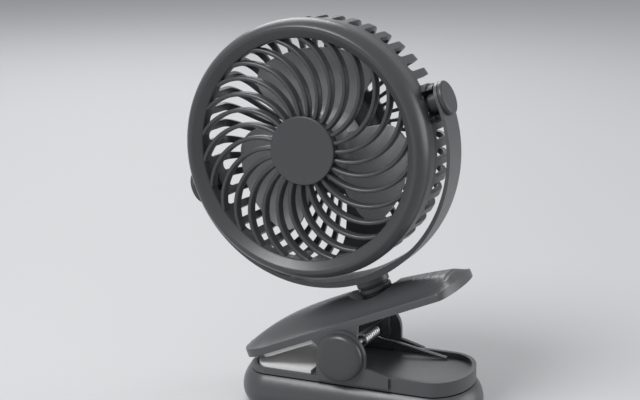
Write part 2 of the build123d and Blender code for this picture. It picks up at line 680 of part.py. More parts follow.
def long_outline(nose, tail, half_width, grow=0.0):
    """Straight-sided outline with an elliptical end at each side."""
    (nose_at, nose_long), (tail_at, tail_long) = nose, tail
    nose_long, tail_long, half = nose_long + grow, tail_long + grow, half_width + grow
    nose_from = nose_at - grow + nose_long
    tail_from = tail_at + grow - tail_long
    sides = Line((nose_from, half), (tail_from, half)) + Line((nose_from, -half), (tail_from, -half))
    ends = EllipticalCenterArc((nose_from, 0), nose_long, half, 90, arc_size=180)
    ends += EllipticalCenterArc((tail_from, 0), tail_long, half, -90, arc_size=180)
    return make_face(sides + ends)


def crown(s):
    """Height of the jaw's back above its crease, at the distance s from the neck."""
    if s < JAW_CROWN_AT:
        return JAW_CROWN * (1 - (abs(s - JAW_CROWN_AT) / 76) ** 3)
    return JAW_CROWN * (1 - ((s - JAW_CROWN_AT) / 91) ** 2)


def jaw_section(s, inset, floor_h):
    half = JAW_HALF_WIDTH - inset
    crease = JAW_CREASE_H - inset / 2
    top = JAW_CREASE_H + crown(s) - inset
    arch = ThreePointArc((s, -half, crease), (s, 0, max(top, crease + 0.3)), (s, half, crease))
    walls = Polyline((s, half, crease), (s, half, floor_h), (s, -half, floor_h), (s, -half, crease))
    return make_face(arch + walls)


def jaw_body(inset, floor_h, height):
    """The domed body of the upper jaw, grown inwards by inset."""
    nose_at, tail_at = JAW_NOSE[0], JAW_TAIL[0]
    stations = [nose_at - 1, -82, -68, -52, -36, -20, 0, 20, 38, tail_at + 1]
    dome = loft([jaw_section(s, inset, floor_h) for s in stations])
    outline = long_outline(JAW_NOSE, JAW_TAIL, JAW_HALF_WIDTH, -inset)
    return dome & (Pos(0, 0, floor_h - 1) * extrude(outline, height))


def top_jaw():
    """Domed shell with a dish round the neck, grip grooves, screw bosses and the two hinge ears."""
    outer = jaw_body(0, JAW_EDGE_H, 30)
    floor_r, top_r, high = DISH
    outer -= Pos(0, 0, -NECK_L[2] + high / 2) * Cone(floor_r, top_r, high)
    dish_wall = Pos(0, 0, -NECK_L[2] - JAW_WALL + high / 2 + 1) * Cone(floor_r + 1.9, top_r + 3, high + 2)
    shell = outer - jaw_body(JAW_WALL, JAW_EDGE_H - 2, 30)
    shell += outer & dish_wall
    for at in JAW_SCREWS_AT:
        shell += outer & upright(at, *JAW_BOSS)
    pin_h = -PIN_DROP
    foot_from, foot_to = EAR_FOOT
    ear = make_face(
        Polyline(
            (foot_from, JAW_CREASE_H), (foot_to, JAW_CREASE_H), (foot_to, JAW_EDGE_H),
            (PIN_ALONG + EAR_R, pin_h), (PIN_ALONG - EAR_R, pin_h), (foot_from, JAW_EDGE_H), close=True,
        )
    ) + Pos(PIN_ALONG, pin_h) * Circle(EAR_R)
    ear = extrude(Rot(90, 0, 0) * ear, EAR_THICK)
    for y in (-JAW_HALF_WIDTH + EAR_THICK, JAW_HALF_WIDTH):
        shell += Pos(0, y, 0) * ear
    shell -= Pos(PIN_ALONG, 0, pin_h) * Rot(90, 0, 0) * Cylinder(PIN_R + RUNNING, 80)
    shell -= upright((0, 0), NECK_PLUG[0] + 0.05, -NECK_L[2] - 4, -NECK_L[2] + 4)
    for at in JAW_SCREWS_AT:
        shell -= upright(at, *JAW_BOSS_BORE)
    count, first, step = GROOVES
    for i in range(count):
        s = first + i * step
        level = JAW_CREASE_H + crown(s) - GROOVE_DEEP + GROOVE_R
        shell -= Pos(s, 0, level) * Rot(90, 0, 0) * Cylinder(GROOVE_R, GROOVE_LONG)
    return shell


def upright(at, r, low, high):
    """A round bar that stands between two heights."""
    return Pos(*at, (low + high) / 2) * Cylinder(r, high - low)


def jaw_liner():
    """Plate that closes the upper jaw from below and carries its pad."""
    outline = long_outline(JAW_NOSE, JAW_TAIL, JAW_HALF_WIDTH, -JAW_WALL - LINER_GAP)
    low, high = JAW_EDGE_H, JAW_EDGE_H + LINER_THICK
    plate = Pos(0, 0, low) * extrude(outline, LINER_THICK)
    middle, long = (EAR_FOOT[0] + EAR_FOOT[1]) / 2, EAR_FOOT[1] - EAR_FOOT[0] + 1
    for side in (-1, 1):
        plate -= Pos(middle, side * (JAW_HALF_WIDTH - 1), low) * Box(long, LINER_NOTCH_WIDE, 10)
    plate -= upright((0, 0), LINER_HOLE_R, low - 1, high + 1)
    shank_r, head_r = LINER_SCREW[0], LINER_SCREW_HEAD[0]
    for at in JAW_SCREWS_AT:
        plate -= upright(at, shank_r + 0.2, low - 1, high + 1)
        plate -= upright(at, head_r + 0.3, low - 1, low + 1.4)
    return plate


def liner_screws():
    head_r, head_high = LINER_SCREW_HEAD
    shank_r, shank_long = LINER_SCREW
    low = JAW_EDGE_H + 0.1
    under = low + head_high
    return [
        upright(at, head_r, low, under) + upright(at, shank_r, under - 0.1, under - 0.1 + shank_long)
        for at in JAW_SCREWS_AT
    ]


def top_pad():
    outline = long_outline(TOP_PAD_NOSE, JAW_TAIL, JAW_HALF_WIDTH, -TOP_PAD_INSET)
    keep = Pos(TOP_PAD_END - 50, 0) * Rectangle(100, 80)
    return Pos(0, 0, JAW_EDGE_H - TOP_PAD_THICK) * extrude(outline & keep, TOP_PAD_THICK - 0.05)


# ---------------------------------------------------------------- lower jaw and base

def base_outline(grow=0.0):
    return long_outline(BASE_NOSE, BASE_TAIL, BASE_HALF_WIDTH, grow)


def behind(at):
    """The half of the plan that lies behind a place along the clip."""
    return Pos(at + 100, 0) * Rectangle(200, 100)


def bottom_jaw():
    """Deck under the mouth, shallow tray under the handle and the two outer hinge ears."""
    body = Pos(0, 0, BAND_BOTTOM) * extrude(base_outline(), RIM_TOP - BAND_BOTTOM)
    body -= Pos(STEP_AT - 100, 0, DECK_TOP + 50) * Box(200, 100, 100)
    body -= Pos(0, 0, TRAY_FLOOR) * extrude(base_outline(-RIM_WALL) & behind(TRAY_FROM), 20)
    hollow = base_outline(-UNDER_INSET)
    body -= Pos(0, 0, BAND_BOTTOM - 1) * extrude(hollow, 1 + UNDER_DEEP)
    body -= Pos(0, 0, BAND_BOTTOM) * extrude(hollow & behind(0), TRAY_FLOOR - TRAY_PLATE - BAND_BOTTOM)
    long, across, wide = EAR_ROOM
    for side in (-1, 1):
        body -= Pos(0, side * across, RIM_TOP) * Box(long, wide, 2 * (RIM_TOP - DECK_TOP))
    ear = make_face(Polyline(*LOW_EAR_SHAPE, close=True)) + Pos(0, PIN_HEIGHT) * Circle(LOW_EAR_R)
    ear = extrude(Rot(90, 0, 0) * ear, LOW_EAR_Y[1] - LOW_EAR_Y[0])
    for y in (-LOW_EAR_Y[0], LOW_EAR_Y[1]):
        body += Pos(0, y, 0) * ear
    body -= PIN_FRAME * Rot(90, 0, 0) * Cylinder(PIN_R, 80)
    shank_r, _, shank_top = BASE_SCREW
    for at in BASE_SCREWS_AT:
        body += upright(at, BASE_POST_R, BAND_BOTTOM, DECK_TOP)
        body -= upright(at, shank_r, BAND_BOTTOM - 2, shank_top + 0.2)
    return body


def bulged_outline(height, bulge):
    return Pos(0, 0, height) * base_outline(bulge)


def base_shell():
    """Bulging lower shell, open at the top, with four screw posts and a recess for the sole."""
    outer = loft([bulged_outline(z, grow) for z, grow in BULGE])
    inner = loft([bulged_outline(max(z, BASE_FLOOR) + 0.1, grow - BASE_WALL) for z, grow in BULGE[:-1]])
    top = BULGE[0][0]
    shell = outer - inner
    shell -= Pos(0, 0, top - 0.5) * extrude(base_outline(-BASE_WALL), 1)
    hole_r, room_r, room_top = BASE_SCREW_ROOM
    for at in BASE_SCREWS_AT:
        shell += upright(at, BASE_POST_R, 2.5, BAND_BOTTOM - 0.05)
        shell -= upright(at, hole_r, -10, 30)
        shell -= upright(at, room_r, -1, room_top)
    return shell - extrude(base_outline(0.2 - SOLE_INSET), SOLE_THICK + 0.05)


def base_screws():
    return [upright(at, *BASE_SCREW_HEAD) + upright(at, *BASE_SCREW) for at in BASE_SCREWS_AT]


def base_sole():
    return extrude(base_outline(-SOLE_INSET), SOLE_THICK)


def bottom_pad():
    outline = long_outline(LOW_PAD_NOSE, BASE_TAIL, JAW_HALF_WIDTH, -LOW_PAD_INSET)
    keep = Pos(LOW_PAD_END - 50, 0) * Rectangle(100, 80)
    return Pos(0, 0, DECK_TOP + 0.05) * extrude(outline & keep, LOW_PAD_TOP - DECK_TOP - 0.05)


def pivot_pin():
    left_r, middle, wide = PIN_GROOVE
    bar = Cylinder(PIN_R, 2 * PIN_HALF) + upright((0, 0), *PIN_HEAD)
    groove = Pos(0, 0, -middle) * (Cylinder(2 * PIN_R, wide) - Cylinder(left_r, 2 * wide))
    return PIN_FRAME * Rot(90, 0, 0) * (bar - groove)


def pin_clip():
    r, thick, gap = PIN_CLIP
    left_r, middle, _ = PIN_GROOVE
    ring = Cylinder(r, thick) - Cylinder(left_r, 2 * thick) - Pos(0, -r, 0) * Box(gap, 2 * r, 2 * thick)
    return PIN_FRAME * Rot(90, 0, 0) * Pos(0, 0, -middle) * ring


def pivot_cap(side):
    """Plump round cover over one end of the pin; side is -1 for the front and 1 for the rear."""
    inner, outer = CAP_Y
    thick = outer - inner
    room_r, room_deep = CAP_ROOM
    body = Cylinder(CAP_R, thick)
    body = fillet(body.edges().group_by(Axis.Z)[-1], CAP_ROUND)
    body -= Pos(0, 0, -thick / 2) * Cylinder(room_r, 2 * room_deep)
    turn = Rot(90, 0, 0) if side < 0 else Rot(-90, 0, 0)
    return PIN_FRAME * Pos(0, side * (inner + outer) / 2, 0) * turn * body


# ---------------------------------------------------------------- spring

def coil_point(turned, first, start_y):
    """Point and direction of the coil's wire after it has turned by so many degrees from its first angle."""
    total = coil_sweep(first)
    ease = 90.0
    travelled = turned - ease / 2
    slope = 1.0
    if turned < ease:
        part = turned / ease
        travelled = ease * (part / 2 - math.sin(math.pi * part) / (2 * math.pi))
        slope = (1 - math.cos(math.pi * part)) / 2
    if turned > total - ease:
        part = (total - turned) / ease
        travelled = total - ease - ease * (part / 2 - math.sin(math.pi * part) / (2 * math.pi))
        slope = (1 - math.cos(math.pi * part)) / 2
    angle = math.radians(first + turned)
    y = start_y + COIL_PITCH * travelled / 360
    point = Vector(COIL_R * math.cos(angle), y, PIN_HEIGHT + COIL_R * math.sin(angle))
    climb = slope * COIL_PITCH / (2 * math.pi)
    way = Vector(-COIL_R * math.sin(angle), climb, COIL_R * math.cos(angle))
    return point, way.normalized()


def coil_sweep(first):
    return 360 * COIL_TURNS - LOW_LEG_FALL - 90 - first


def biarc(a, a_way, b, b_way):
    """Two arcs that join a to b and leave and arrive in the given directions."""
    v = b - a
    both = a_way + b_way
    square = 2 * (1 - a_way.dot(b_way))
    middle = 2 * v.dot(both)
    reach = (-middle + math.sqrt(middle**2 + 4 * square * v.dot(v))) / (2 * square)
    near, far = a + a_way * reach, b - b_way * reach
    joint = (near + far) * 0.5
    return [Edge.make_tangent_arc(a, a_way, joint), Edge.make_tangent_arc(joint, far - near, b)]


def torsion_spring():
    """Coil round the pin, with one leg in the tray and one under the upper handle."""
    rise = PIN_DROP + JAW_EDGE_H - WIRE_R - 0.12
    lift = math.degrees(math.asin((rise - COIL_R) / HIGH_LEG_LONG))
    first = CLIP_TILT + lift + 90
    total = coil_sweep(first)
    start_y = COIL_END_Y - COIL_PITCH * (total - 90) / 360
    quarters = math.ceil(total / 90)
    stops = [coil_point(total * i / quarters, first, start_y) for i in range(quarters + 1)]
    (start, start_way), (end, end_way) = stops[0], stops[-1]
    edges = [Edge.make_line(start - start_way * HIGH_LEG_LONG, start)]
    for (a, a_way), (b, b_way) in zip(stops, stops[1:]):
        edges += biarc(a, a_way, b, b_way)
    edges.append(Edge.make_line(end, end + end_way * LOW_LEG_LONG))
    path = Wire(edges)
    first_point = start - start_way * HIGH_LEG_LONG
    tube = sweep(Plane(first_point, z_dir=start_way) * Circle(WIRE_R), path=path)
    length = HIGH_LEG_LONG + LOW_LEG_LONG + sum(edge.length for edge in edges[1:-1])
    print("spring volume over section times length:", round(tube.volume / (math.pi * WIRE_R**2 * length), 4))
    print("spring least gap to itself, mm:", round(least_gap(first, start_y, total), 2))
    return tube


def least_gap(first, start_y, total):
    """Smallest distance between two stretches of the wire that lie more than half a turn apart."""
    step = 10
    points = [coil_point(t, first, start_y)[0] for t in range(0, int(total) + 1, step)]
    apart = 180 // step
    gaps = [(p - q).length for i, p in enumerate(points) for q in points[i + apart:]]
    return min(gaps) - 2 * WIRE_R


# ---------------------------------------------------------------- write the nodes

def write_head():
    for name, make in {
        "front_guard": front_guard, "centre_cap": centre_cap, "rear_cage": rear_cage, "hub_cover": hub_cover,
        "circuit_board": circuit_board, "switch_body": switch_body, "switch_plunger": switch_plunger,
        "power_button": power_button, "power_socket": power_socket, "indicator_lens": indicator_lens,
        "indicator_light": indicator_light, "motor_can": motor_can, "motor_end_cap": motor_end_cap,
        "motor_rotor": motor_rotor, "motor_shaft": motor_shaft, "impeller": impeller,
    }.items():
        save(name, HEAD * make())
    for name, make in {
        "cover_screws": cover_screws, "board_screws": board_screws, "motor_magnets": motor_magnets,
        "motor_wires": motor_wires,
    }.items():
        save(name, *[HEAD * solid for solid in make()])
    for name, side in (("right", 1), ("left", -1)):
        turn = UPPER * Rot(0, side * 90, 0)
        save(f"pivot_screw_{name}", turn * pivot_screw())
        save(f"pivot_washer_{name}", turn * pivot_washer())
        save(f"yoke_cap_{name}", turn * yoke_cap())


def write_neck_and_jaw():
    for name, make in {
        "yoke": yoke, "yoke_collar": yoke_collar, "neck_washer": neck_washer, "neck_base": neck_base,
        "neck_screw": neck_screw, "neck_nut_washer": neck_nut_washer, "neck_nut": neck_nut,
        "top_jaw": top_jaw, "jaw_liner": jaw_liner, "top_pad": top_pad,
    }.items():
        save(name, UPPER * make())
    save("liner_screws", *[UPPER * solid for solid in liner_screws()])


def write_base():
    for name, make in {
        "bottom_jaw": bottom_jaw, "base_shell": base_shell, "base_sole": base_sole, "bottom_pad": bottom_pad,
        "pivot_pin": pivot_pin, "pin_clip": pin_clip, "torsion_spring": torsion_spring,
    }.items():
        save(name, make())
    save("base_screws", *base_screws())
    save("pivot_cap_front", pivot_cap(-1))
    save("pivot_cap_rear", pivot_cap(1))


os.makedirs("parts", exist_ok=True)
write_head()
write_neck_and_jaw()
write_base()
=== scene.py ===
"""Looks of a small clip fan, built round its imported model.

One operator makes each piece or group of like pieces. Pieces are drawn in millimetres, in one of three frames:
the head's, the upper jaw's with its neck, or the table's.
"""
import json
import math

import bmesh
import bpy
from mathutils import Matrix, Vector


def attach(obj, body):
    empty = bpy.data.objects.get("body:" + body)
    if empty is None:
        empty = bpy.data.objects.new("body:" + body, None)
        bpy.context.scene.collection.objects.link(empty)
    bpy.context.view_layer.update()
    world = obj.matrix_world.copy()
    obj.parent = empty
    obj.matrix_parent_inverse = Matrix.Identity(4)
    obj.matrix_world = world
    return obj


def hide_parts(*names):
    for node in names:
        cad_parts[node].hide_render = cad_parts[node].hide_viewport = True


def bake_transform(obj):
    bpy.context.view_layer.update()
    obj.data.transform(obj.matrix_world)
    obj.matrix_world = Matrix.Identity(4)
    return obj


bl_info = {
    "name": "Clip fan",
    "version": (1, 0, 0),
    "blender": (4, 5, 0),
    "location": "View3D > Sidebar > Clip fan",
    "description": "Builds the finished pieces of a small fan on a sprung clip",
    "category": "Add Mesh",
}

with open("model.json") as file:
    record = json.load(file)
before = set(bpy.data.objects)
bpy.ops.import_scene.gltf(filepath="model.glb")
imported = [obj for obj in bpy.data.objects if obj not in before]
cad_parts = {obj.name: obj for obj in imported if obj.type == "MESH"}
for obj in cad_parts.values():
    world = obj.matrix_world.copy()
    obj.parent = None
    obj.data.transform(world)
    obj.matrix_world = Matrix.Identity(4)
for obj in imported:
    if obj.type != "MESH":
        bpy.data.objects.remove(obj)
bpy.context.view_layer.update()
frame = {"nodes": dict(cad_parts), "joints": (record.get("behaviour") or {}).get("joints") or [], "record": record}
JOINTS = {joint["name"]: joint for joint in frame["joints"]}
MM = 0.001
TURN = 2 * math.pi
CENTRE, Z_AXIS = (0, 0, 0), (0, 0, 1)
MERGE, COARSE_MERGE = 1e-4, 1e-3         # points closer than this are one


def axes_at(point, x_axis, z_axis):
    """Matrix that takes millimetres in a piece's own frame to metres in the row frame."""
    x, z = Vector(x_axis), Vector(z_axis)
    turned = Matrix((x, z.cross(x), z)).transposed().to_4x4()
    return Matrix.Translation(Vector(point)) @ turned @ Matrix.Scale(MM, 4)


TIP = JOINTS["head_tip"]
# In the head, z is towards the viewer and x to the right knob; on the jaw, z is up the neck.
HEAD = axes_at(TIP["pos_m"], TIP["axis"], JOINTS["impeller_spin"]["axis"])
UPPER = axes_at(TIP["pos_m"], TIP["axis"], JOINTS["neck_swivel"]["axis"])
TABLE = Matrix.Scale(MM, 4)
PIN_UP = JOINTS["jaw_open"]["pos_m"][2] / MM
FRONT_TO_TIP = 28.7                      # from the guard's front-most edge back to the tipping axis
SIDES = (("right", 1), ("left", -1))


# ---------------------------------------------------------------- settings

class ClipFanHead(bpy.types.PropertyGroup):
    """Sizes of the fan's head, in millimetres"""
    rib_count: bpy.props.IntProperty(name="Ribs", description="Curved ribs in the front guard", default=26)
    rib_width: bpy.props.FloatProperty(name="Rib width", description="Width of a rib, mm", default=2.4)
    rib_bend: bpy.props.FloatProperty(
        name="Rib bend", description="Radius that a rib is bent to, mm", default=32.7)
    slot_count: bpy.props.IntProperty(
        name="Slot places", description="Places for slots round the cage", default=44)
    blade_count: bpy.props.IntProperty(name="Blades", description="Blades of the impeller", default=3)
    blade_thick: bpy.props.FloatProperty(
        name="Blade thickness", description="Thickness of a blade, mm", default=1.6)


class ClipFanClip(bpy.types.PropertyGroup):
    """Sizes of the clip, in millimetres"""
    crown: bpy.props.FloatProperty(name="Crown", description="Height of the jaw's back, mm", default=11.8)
    wall: bpy.props.FloatProperty(name="Wall", description="Wall of the jaw's shell, mm", default=2.2)
    grooves: bpy.props.IntProperty(name="Grip grooves", description="Grooves across the handle", default=5)
    pad_round: bpy.props.FloatProperty(
        name="Pad rounding", description="Rounding of the pads' edges, mm", default=0.6)


class ClipFanFinish(bpy.types.PropertyGroup):
    """Colours of the finishes"""
    shell: bpy.props.FloatVectorProperty(
        name="Shell", description="Moulded plastic of the clip", subtype="COLOR",
        default=(0.066, 0.068, 0.072))
    guard: bpy.props.FloatVectorProperty(
        name="Guard", description="Moulded plastic of the head", subtype="COLOR",
        default=(0.05, 0.052, 0.055))
    blade: bpy.props.FloatVectorProperty(
        name="Blades", description="Plastic of the impeller", subtype="COLOR", default=(0.5, 0.505, 0.51))
    strap: bpy.props.FloatVectorProperty(
        name="Strap", description="Painted yoke", subtype="COLOR", default=(0.085, 0.087, 0.09))
    pad: bpy.props.FloatVectorProperty(
        name="Pads", description="Soft pads in the mouth", subtype="COLOR", default=(0.66, 0.66, 0.65))


# ---------------------------------------------------------------- mesh helpers

def depth(d):
    """Height in the head's frame of a point that lies d behind the guard's front-most edge."""
    return FRONT_TO_TIP - d


def held(value):
    """The value, kept between 0 and 1."""
    return min(max(value, 0), 1)


def eased(value, low, high):
    """0 below low, 1 above high, smooth between."""
    part = held((value - low) / (high - low))
    return part * part * (3 - 2 * part)


def about_z(degrees):
    return Matrix.Rotation(math.radians(degrees), 3, "Z")


def arc(a, b, c, steps):
    """Points on the circle through a, b and c, from a to c."""
    (ax, ay), (bx, by), (cx, cy) = a, b, c
    d = 2 * (ax * (by - cy) + bx * (cy - ay) + cx * (ay - by))
    sa, sb, sc = ax * ax + ay * ay, bx * bx + by * by, cx * cx + cy * cy
    ux = (sa * (by - cy) + sb * (cy - ay) + sc * (ay - by)) / d
    uy = (sa * (cx - bx) + sb * (ax - cx) + sc * (bx - ax)) / d
    start, middle, end = (math.atan2(y - uy, x - ux) for x, y in (a, b, c))
    r = math.hypot(ax - ux, ay - uy)
    sweep = (end - start) % TURN
    if (middle - start) % TURN > sweep:
        sweep -= TURN
    return [(ux + r * math.cos(start + sweep * i / steps), uy + r * math.sin(start + sweep * i / steps))
            for i in range(steps + 1)]


def outline_edges(bm, points, closed):
    verts = [bm.verts.new(p) for p in points]
    pairs = list(zip(verts, verts[1:])) + ([(verts[-1], verts[0])] if closed else [])
    return verts, [bm.edges.new(pair) for pair in pairs]


def new_verts(made):
    """The points among what an extrusion made."""
    return [g for g in made["geom"] if isinstance(g, bmesh.types.BMVert)]


def lathe(bm, profile, steps=96, closed=True):
    """Turns (radius, height) points about z. A closed profile is a ring; an open one ends on the axis."""
    verts, edges = outline_edges(bm, [(r, 0, z) for r, z in profile], closed)
    bmesh.ops.spin(bm, geom=verts + edges, cent=CENTRE, axis=Z_AXIS, angle=TURN, steps=steps, use_merge=True)
    bmesh.ops.remove_doubles(bm, verts=bm.verts, dist=MERGE)


def head_lathe(bm, profile, steps=96, closed=True):
    """The same, from (radius, depth) points in the head."""
    lathe(bm, [(r, depth(d)) for r, d in profile], steps, closed)


def grid_index(vert, across, along):
    """Column and row of a point of a fresh grid, which reaches from -1 to 1 both ways."""
    return round((vert.co.x + 1) / 2 * across), round((vert.co.y + 1) / 2 * along)


def warped(bm, across, along, place):
    """A grid whose points go where place(i, j) says, i from 0 to across and j from 0 to along."""
    made = bmesh.ops.create_grid(bm, x_segments=across, y_segments=along, size=1)
    for vert in made["verts"]:
        vert.co = place(*grid_index(vert, across, along))
    return made["verts"]


def repeated(bm, count):
    """Copies everything round z until there are so many."""
    every = bm.verts[:] + bm.edges[:] + bm.faces[:]
    step = TURN / count
    bmesh.ops.spin(bm, geom=every, cent=CENTRE, axis=Z_AXIS, angle=TURN - step, steps=count - 1,
                   use_duplicate=True)


def slab(bm, across, along, outer, inner):
    """A plate between two skins, each given as place(i, j)."""
    i_of, j_of = bm.verts.layers.int.new("across"), bm.verts.layers.int.new("along")
    made = bmesh.ops.create_grid(bm, x_segments=across, y_segments=along, size=1)
    for vert in made["verts"]:
        vert[i_of], vert[j_of] = grid_index(vert, across, along)
        vert.co = outer(vert[i_of], vert[j_of])
    pushed = bmesh.ops.extrude_face_region(bm, geom=bm.faces[:], use_keep_orig=True)
    for vert in new_verts(pushed):
        vert.co = inner(vert[i_of], vert[j_of])


def prism(bm, outline, way):
    """Pushes a flat outline of points along way and closes it."""
    verts, _ = outline_edges(bm, outline, True)
    pushed = bmesh.ops.extrude_face_region(bm, geom=[bm.faces.new(verts)], use_keep_orig=True)
    bmesh.ops.translate(bm, verts=new_verts(pushed), vec=way)


def fill_ends(bm):
    """Closes every open rim."""
    rims = [e for e in bm.edges if e.is_boundary]
    if rims:
        bmesh.ops.holes_fill(bm, edges=rims)


def bar(bm, r, low, high, at):
    """Round bar along z."""
    place = Matrix.Translation((at[0], at[1], (low + high) / 2))
    bmesh.ops.create_cone(bm, cap_ends=True, segments=48, radius1=r, radius2=r, depth=high - low,
                          matrix=place)


def piece(name, bm, place, body, slot, nodes, bevel=None, wall=None, sharp=35, recalc=True):
    """Makes the finished object: outward faces, wall, rounded edges, body and the material of its slot, and hides
    the nodes that it stands for.

    bevel is the rounding's width and segments, wall the thickness of a shell, both in millimetres. Edges that
    turn by more than sharp degrees stay sharp. A piece given no body is attached to none.
    """
    bm.transform(place)
    bm.normal_update()
    if recalc:
        bmesh.ops.recalc_face_normals(bm, faces=bm.faces)
    limit = math.radians(sharp)
    for face in bm.faces:
        face.smooth = True
    for edge in bm.edges:
        if len(edge.link_faces) == 2 and edge.calc_face_angle(0) > limit:
            edge.smooth = False
    mesh = bpy.data.meshes.new(name)
    bm.to_mesh(mesh)
    bm.free()
    mesh.materials.append(finish(slot))
    made = bpy.data.objects.new(name, mesh)
    bpy.context.scene.collection.objects.link(made)
    if wall:
        shell = made.modifiers.new("Wall", "SOLIDIFY")
        shell.thickness, shell.offset, shell.use_even_offset = wall * MM, -1, True
    if bevel:
        width, segments = bevel
        soft = made.modifiers.new("Rounded edges", "BEVEL")
        soft.width, soft.segments, soft.limit_method = width * MM, segments, "ANGLE"
        soft.angle_limit, soft.harden_normals = limit, True
    if body:
        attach(made, body)
    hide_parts(*nodes)
    return made


def merged_copy(node):
    """A copy of a node's own shape in millimetres, with its loose triangles joined."""
    bm = bmesh.new()
    bm.from_mesh(frame["nodes"][node].data)
    bmesh.ops.scale(bm, vec=(1 / MM, 1 / MM, 1 / MM), verts=bm.verts)
    bmesh.ops.remove_doubles(bm, verts=bm.verts, dist=COARSE_MERGE)
    return bm


def rounded_copy(name, node, body, slot, bevel, moved=None):
    """A finished piece from a copy of a node's own shape, with its edges rounded."""
    bm = merged_copy(node)
    bmesh.ops.dissolve_limit(bm, angle_limit=math.radians(1.5), verts=bm.verts, edges=bm.edges)
    if moved:
        for vert in bm.verts:
            vert.co = moved(vert.co)
    return piece(name, bm, TABLE, body, slot, [node], bevel, recalc=False)


# ---------------------------------------------------------------- finishes

BUMP_LIFT = 0.00004                      # metres that the grain stands up where its bump is 1
CLOUD_SCALE, MARK_SCALE = 38.0, 190.0    # noise scales of the slow shade changes and of the handling marks
FINE, SOFT, BRIGHT = 0.08, 0.3, 0.04     # bumps of moulded plastic, of rubber and of metal
FINISHES = {
    # slot: the material's name, its colour or the setting that holds it, roughness, bump, metallic
    "shell_plastic": ("Shell plastic", "shell", 0.34, FINE, 0.0),
    "guard_plastic": ("Guard plastic", "guard", 0.34, FINE, 0.0),
    "cap_plastic": ("Guard plastic", "guard", 0.34, FINE, 0.0),
    "blade_plastic": ("Blade plastic", "blade", 0.26, FINE, 0.0),
    "button_plastic": ("Blade plastic", "blade", 0.26, FINE, 0.0),
    "strap_metal": ("Strap paint", "strap", 0.34, FINE, 0.0),
    "pad_rubber": ("Pad rubber", "pad", 0.75, SOFT, 0.0),
    "sole_rubber": ("Sole rubber", (0.03, 0.03, 0.032), 0.8, SOFT, 0.0),
    "spring_steel": ("Spring wire", (0.62, 0.62, 0.6324), 0.22, BRIGHT, 1.0),
    "zinc_steel": ("Zinc plate", (0.5, 0.5, 0.51), 0.35, BRIGHT, 1.0),
    "screw_steel": ("Screw steel", (0.42, 0.42, 0.4284), 0.3, BRIGHT, 1.0),
    "board_green": ("Board lacquer", (0.01, 0.09, 0.04), 0.3, FINE, 0.0),
    "black_plastic": ("Black plastic", (0.02, 0.02, 0.022), 0.5, FINE, 0.0),
    "magnet": ("Ferrite", (0.03, 0.028, 0.027), 0.6, FINE, 0.0),
    "copper_rotor": ("Wound copper", (0.45, 0.17, 0.07), 0.4, FINE, 1.0),
    "wire_skin": ("Wire skin", (0.35, 0.02, 0.015), 0.4, FINE, 0.0),
    "lens_clear": ("Lens", (0.75, 0.8, 0.85), 0.15, FINE, 0.0),
    "low_friction": ("Nylon", (0.02, 0.02, 0.021), 0.45, FINE, 0.0),
}


def node_tree(name):
    """A new material, its tree, its surface shader and its object coordinates."""
    material = bpy.data.materials.new(name)
    material.use_nodes = True
    tree = material.node_tree
    shader = tree.nodes["Principled BSDF"]
    place = tree.nodes.new("ShaderNodeTexCoord")
    return material, tree, shader, place.outputs["Object"]


def effect_group(name, inputs):
    """An empty effect with a position and other inputs, which gives a height, a shade and a roughness."""
    tree = bpy.data.node_groups.new(name, "ShaderNodeTree")
    tree.interface.new_socket("Position", in_out="INPUT", socket_type="NodeSocketVector")
    for socket, value in inputs:
        made = tree.interface.new_socket(socket, in_out="INPUT", socket_type="NodeSocketFloat")
        made.default_value = value
    for socket in ("Height", "Shade", "Roughness"):
        tree.interface.new_socket(socket, in_out="OUTPUT", socket_type="NodeSocketFloat")
    return tree, tree.nodes.new("NodeGroupInput"), tree.nodes.new("NodeGroupOutput")


def set_or_link(tree, socket, value):
    """Gives a socket a plain number or another node's output."""
    if isinstance(value, (int, float)):
        socket.default_value = value
    else:
        tree.links.new(value, socket)


def math_node(tree, operation, a, b):
    node = tree.nodes.new("ShaderNodeMath")
    node.operation = operation
    for socket, value in zip(node.inputs, (a, b)):
        set_or_link(tree, socket, value)
    return node.outputs[0]


def noise(tree, position, scale, detail, rough):
    node = tree.nodes.new("ShaderNodeTexNoise")
    node.inputs["Detail"].default_value = detail
    node.inputs["Roughness"].default_value = rough
    set_or_link(tree, node.inputs["Scale"], scale)
    tree.links.new(position, node.inputs["Vector"])
    return node.outputs["Fac"]


def moulded_surface():
    """Fine spark-eroded grain, slow shade changes from the flow of the plastic and faint handling marks."""
    name = "Moulded surface"
    if name in bpy.data.node_groups:
        return bpy.data.node_groups[name]
    inputs = [("Grain scale", 2600.0), ("Shade change", 0.06), ("Roughness", 0.45)]
    tree, given, out = effect_group(name, inputs)

    def swing(value, gain):
        """How far a noise is from its mean, times a gain."""
        return math_node(tree, "MULTIPLY", math_node(tree, "SUBTRACT", value, 0.5), gain)

    position = given.outputs["Position"]
    grain = noise(tree, position, given.outputs["Grain scale"], detail=3.0, rough=0.6)
    cloud = noise(tree, position, CLOUD_SCALE, detail=3.0, rough=0.55)
    marks = noise(tree, position, MARK_SCALE, detail=4.0, rough=0.7)
    tree.links.new(grain, out.inputs["Height"])
    change = math_node(tree, "ADD", swing(cloud, given.outputs["Shade change"]), swing(grain, 0.08))
    tree.links.new(math_node(tree, "ADD", change, 1.0), out.inputs["Shade"])
    worn = math_node(tree, "ADD", given.outputs["Roughness"], swing(marks, 0.14))
    tree.links.new(worn, out.inputs["Roughness"])
    return tree


def scaled_colour(tree, colour, shade):
    mix = tree.nodes.new("ShaderNodeVectorMath")
    mix.operation = "SCALE"
    mix.inputs[0].default_value = colour[:3]
    tree.links.new(shade, mix.inputs["Scale"])
    return mix.outputs[0]


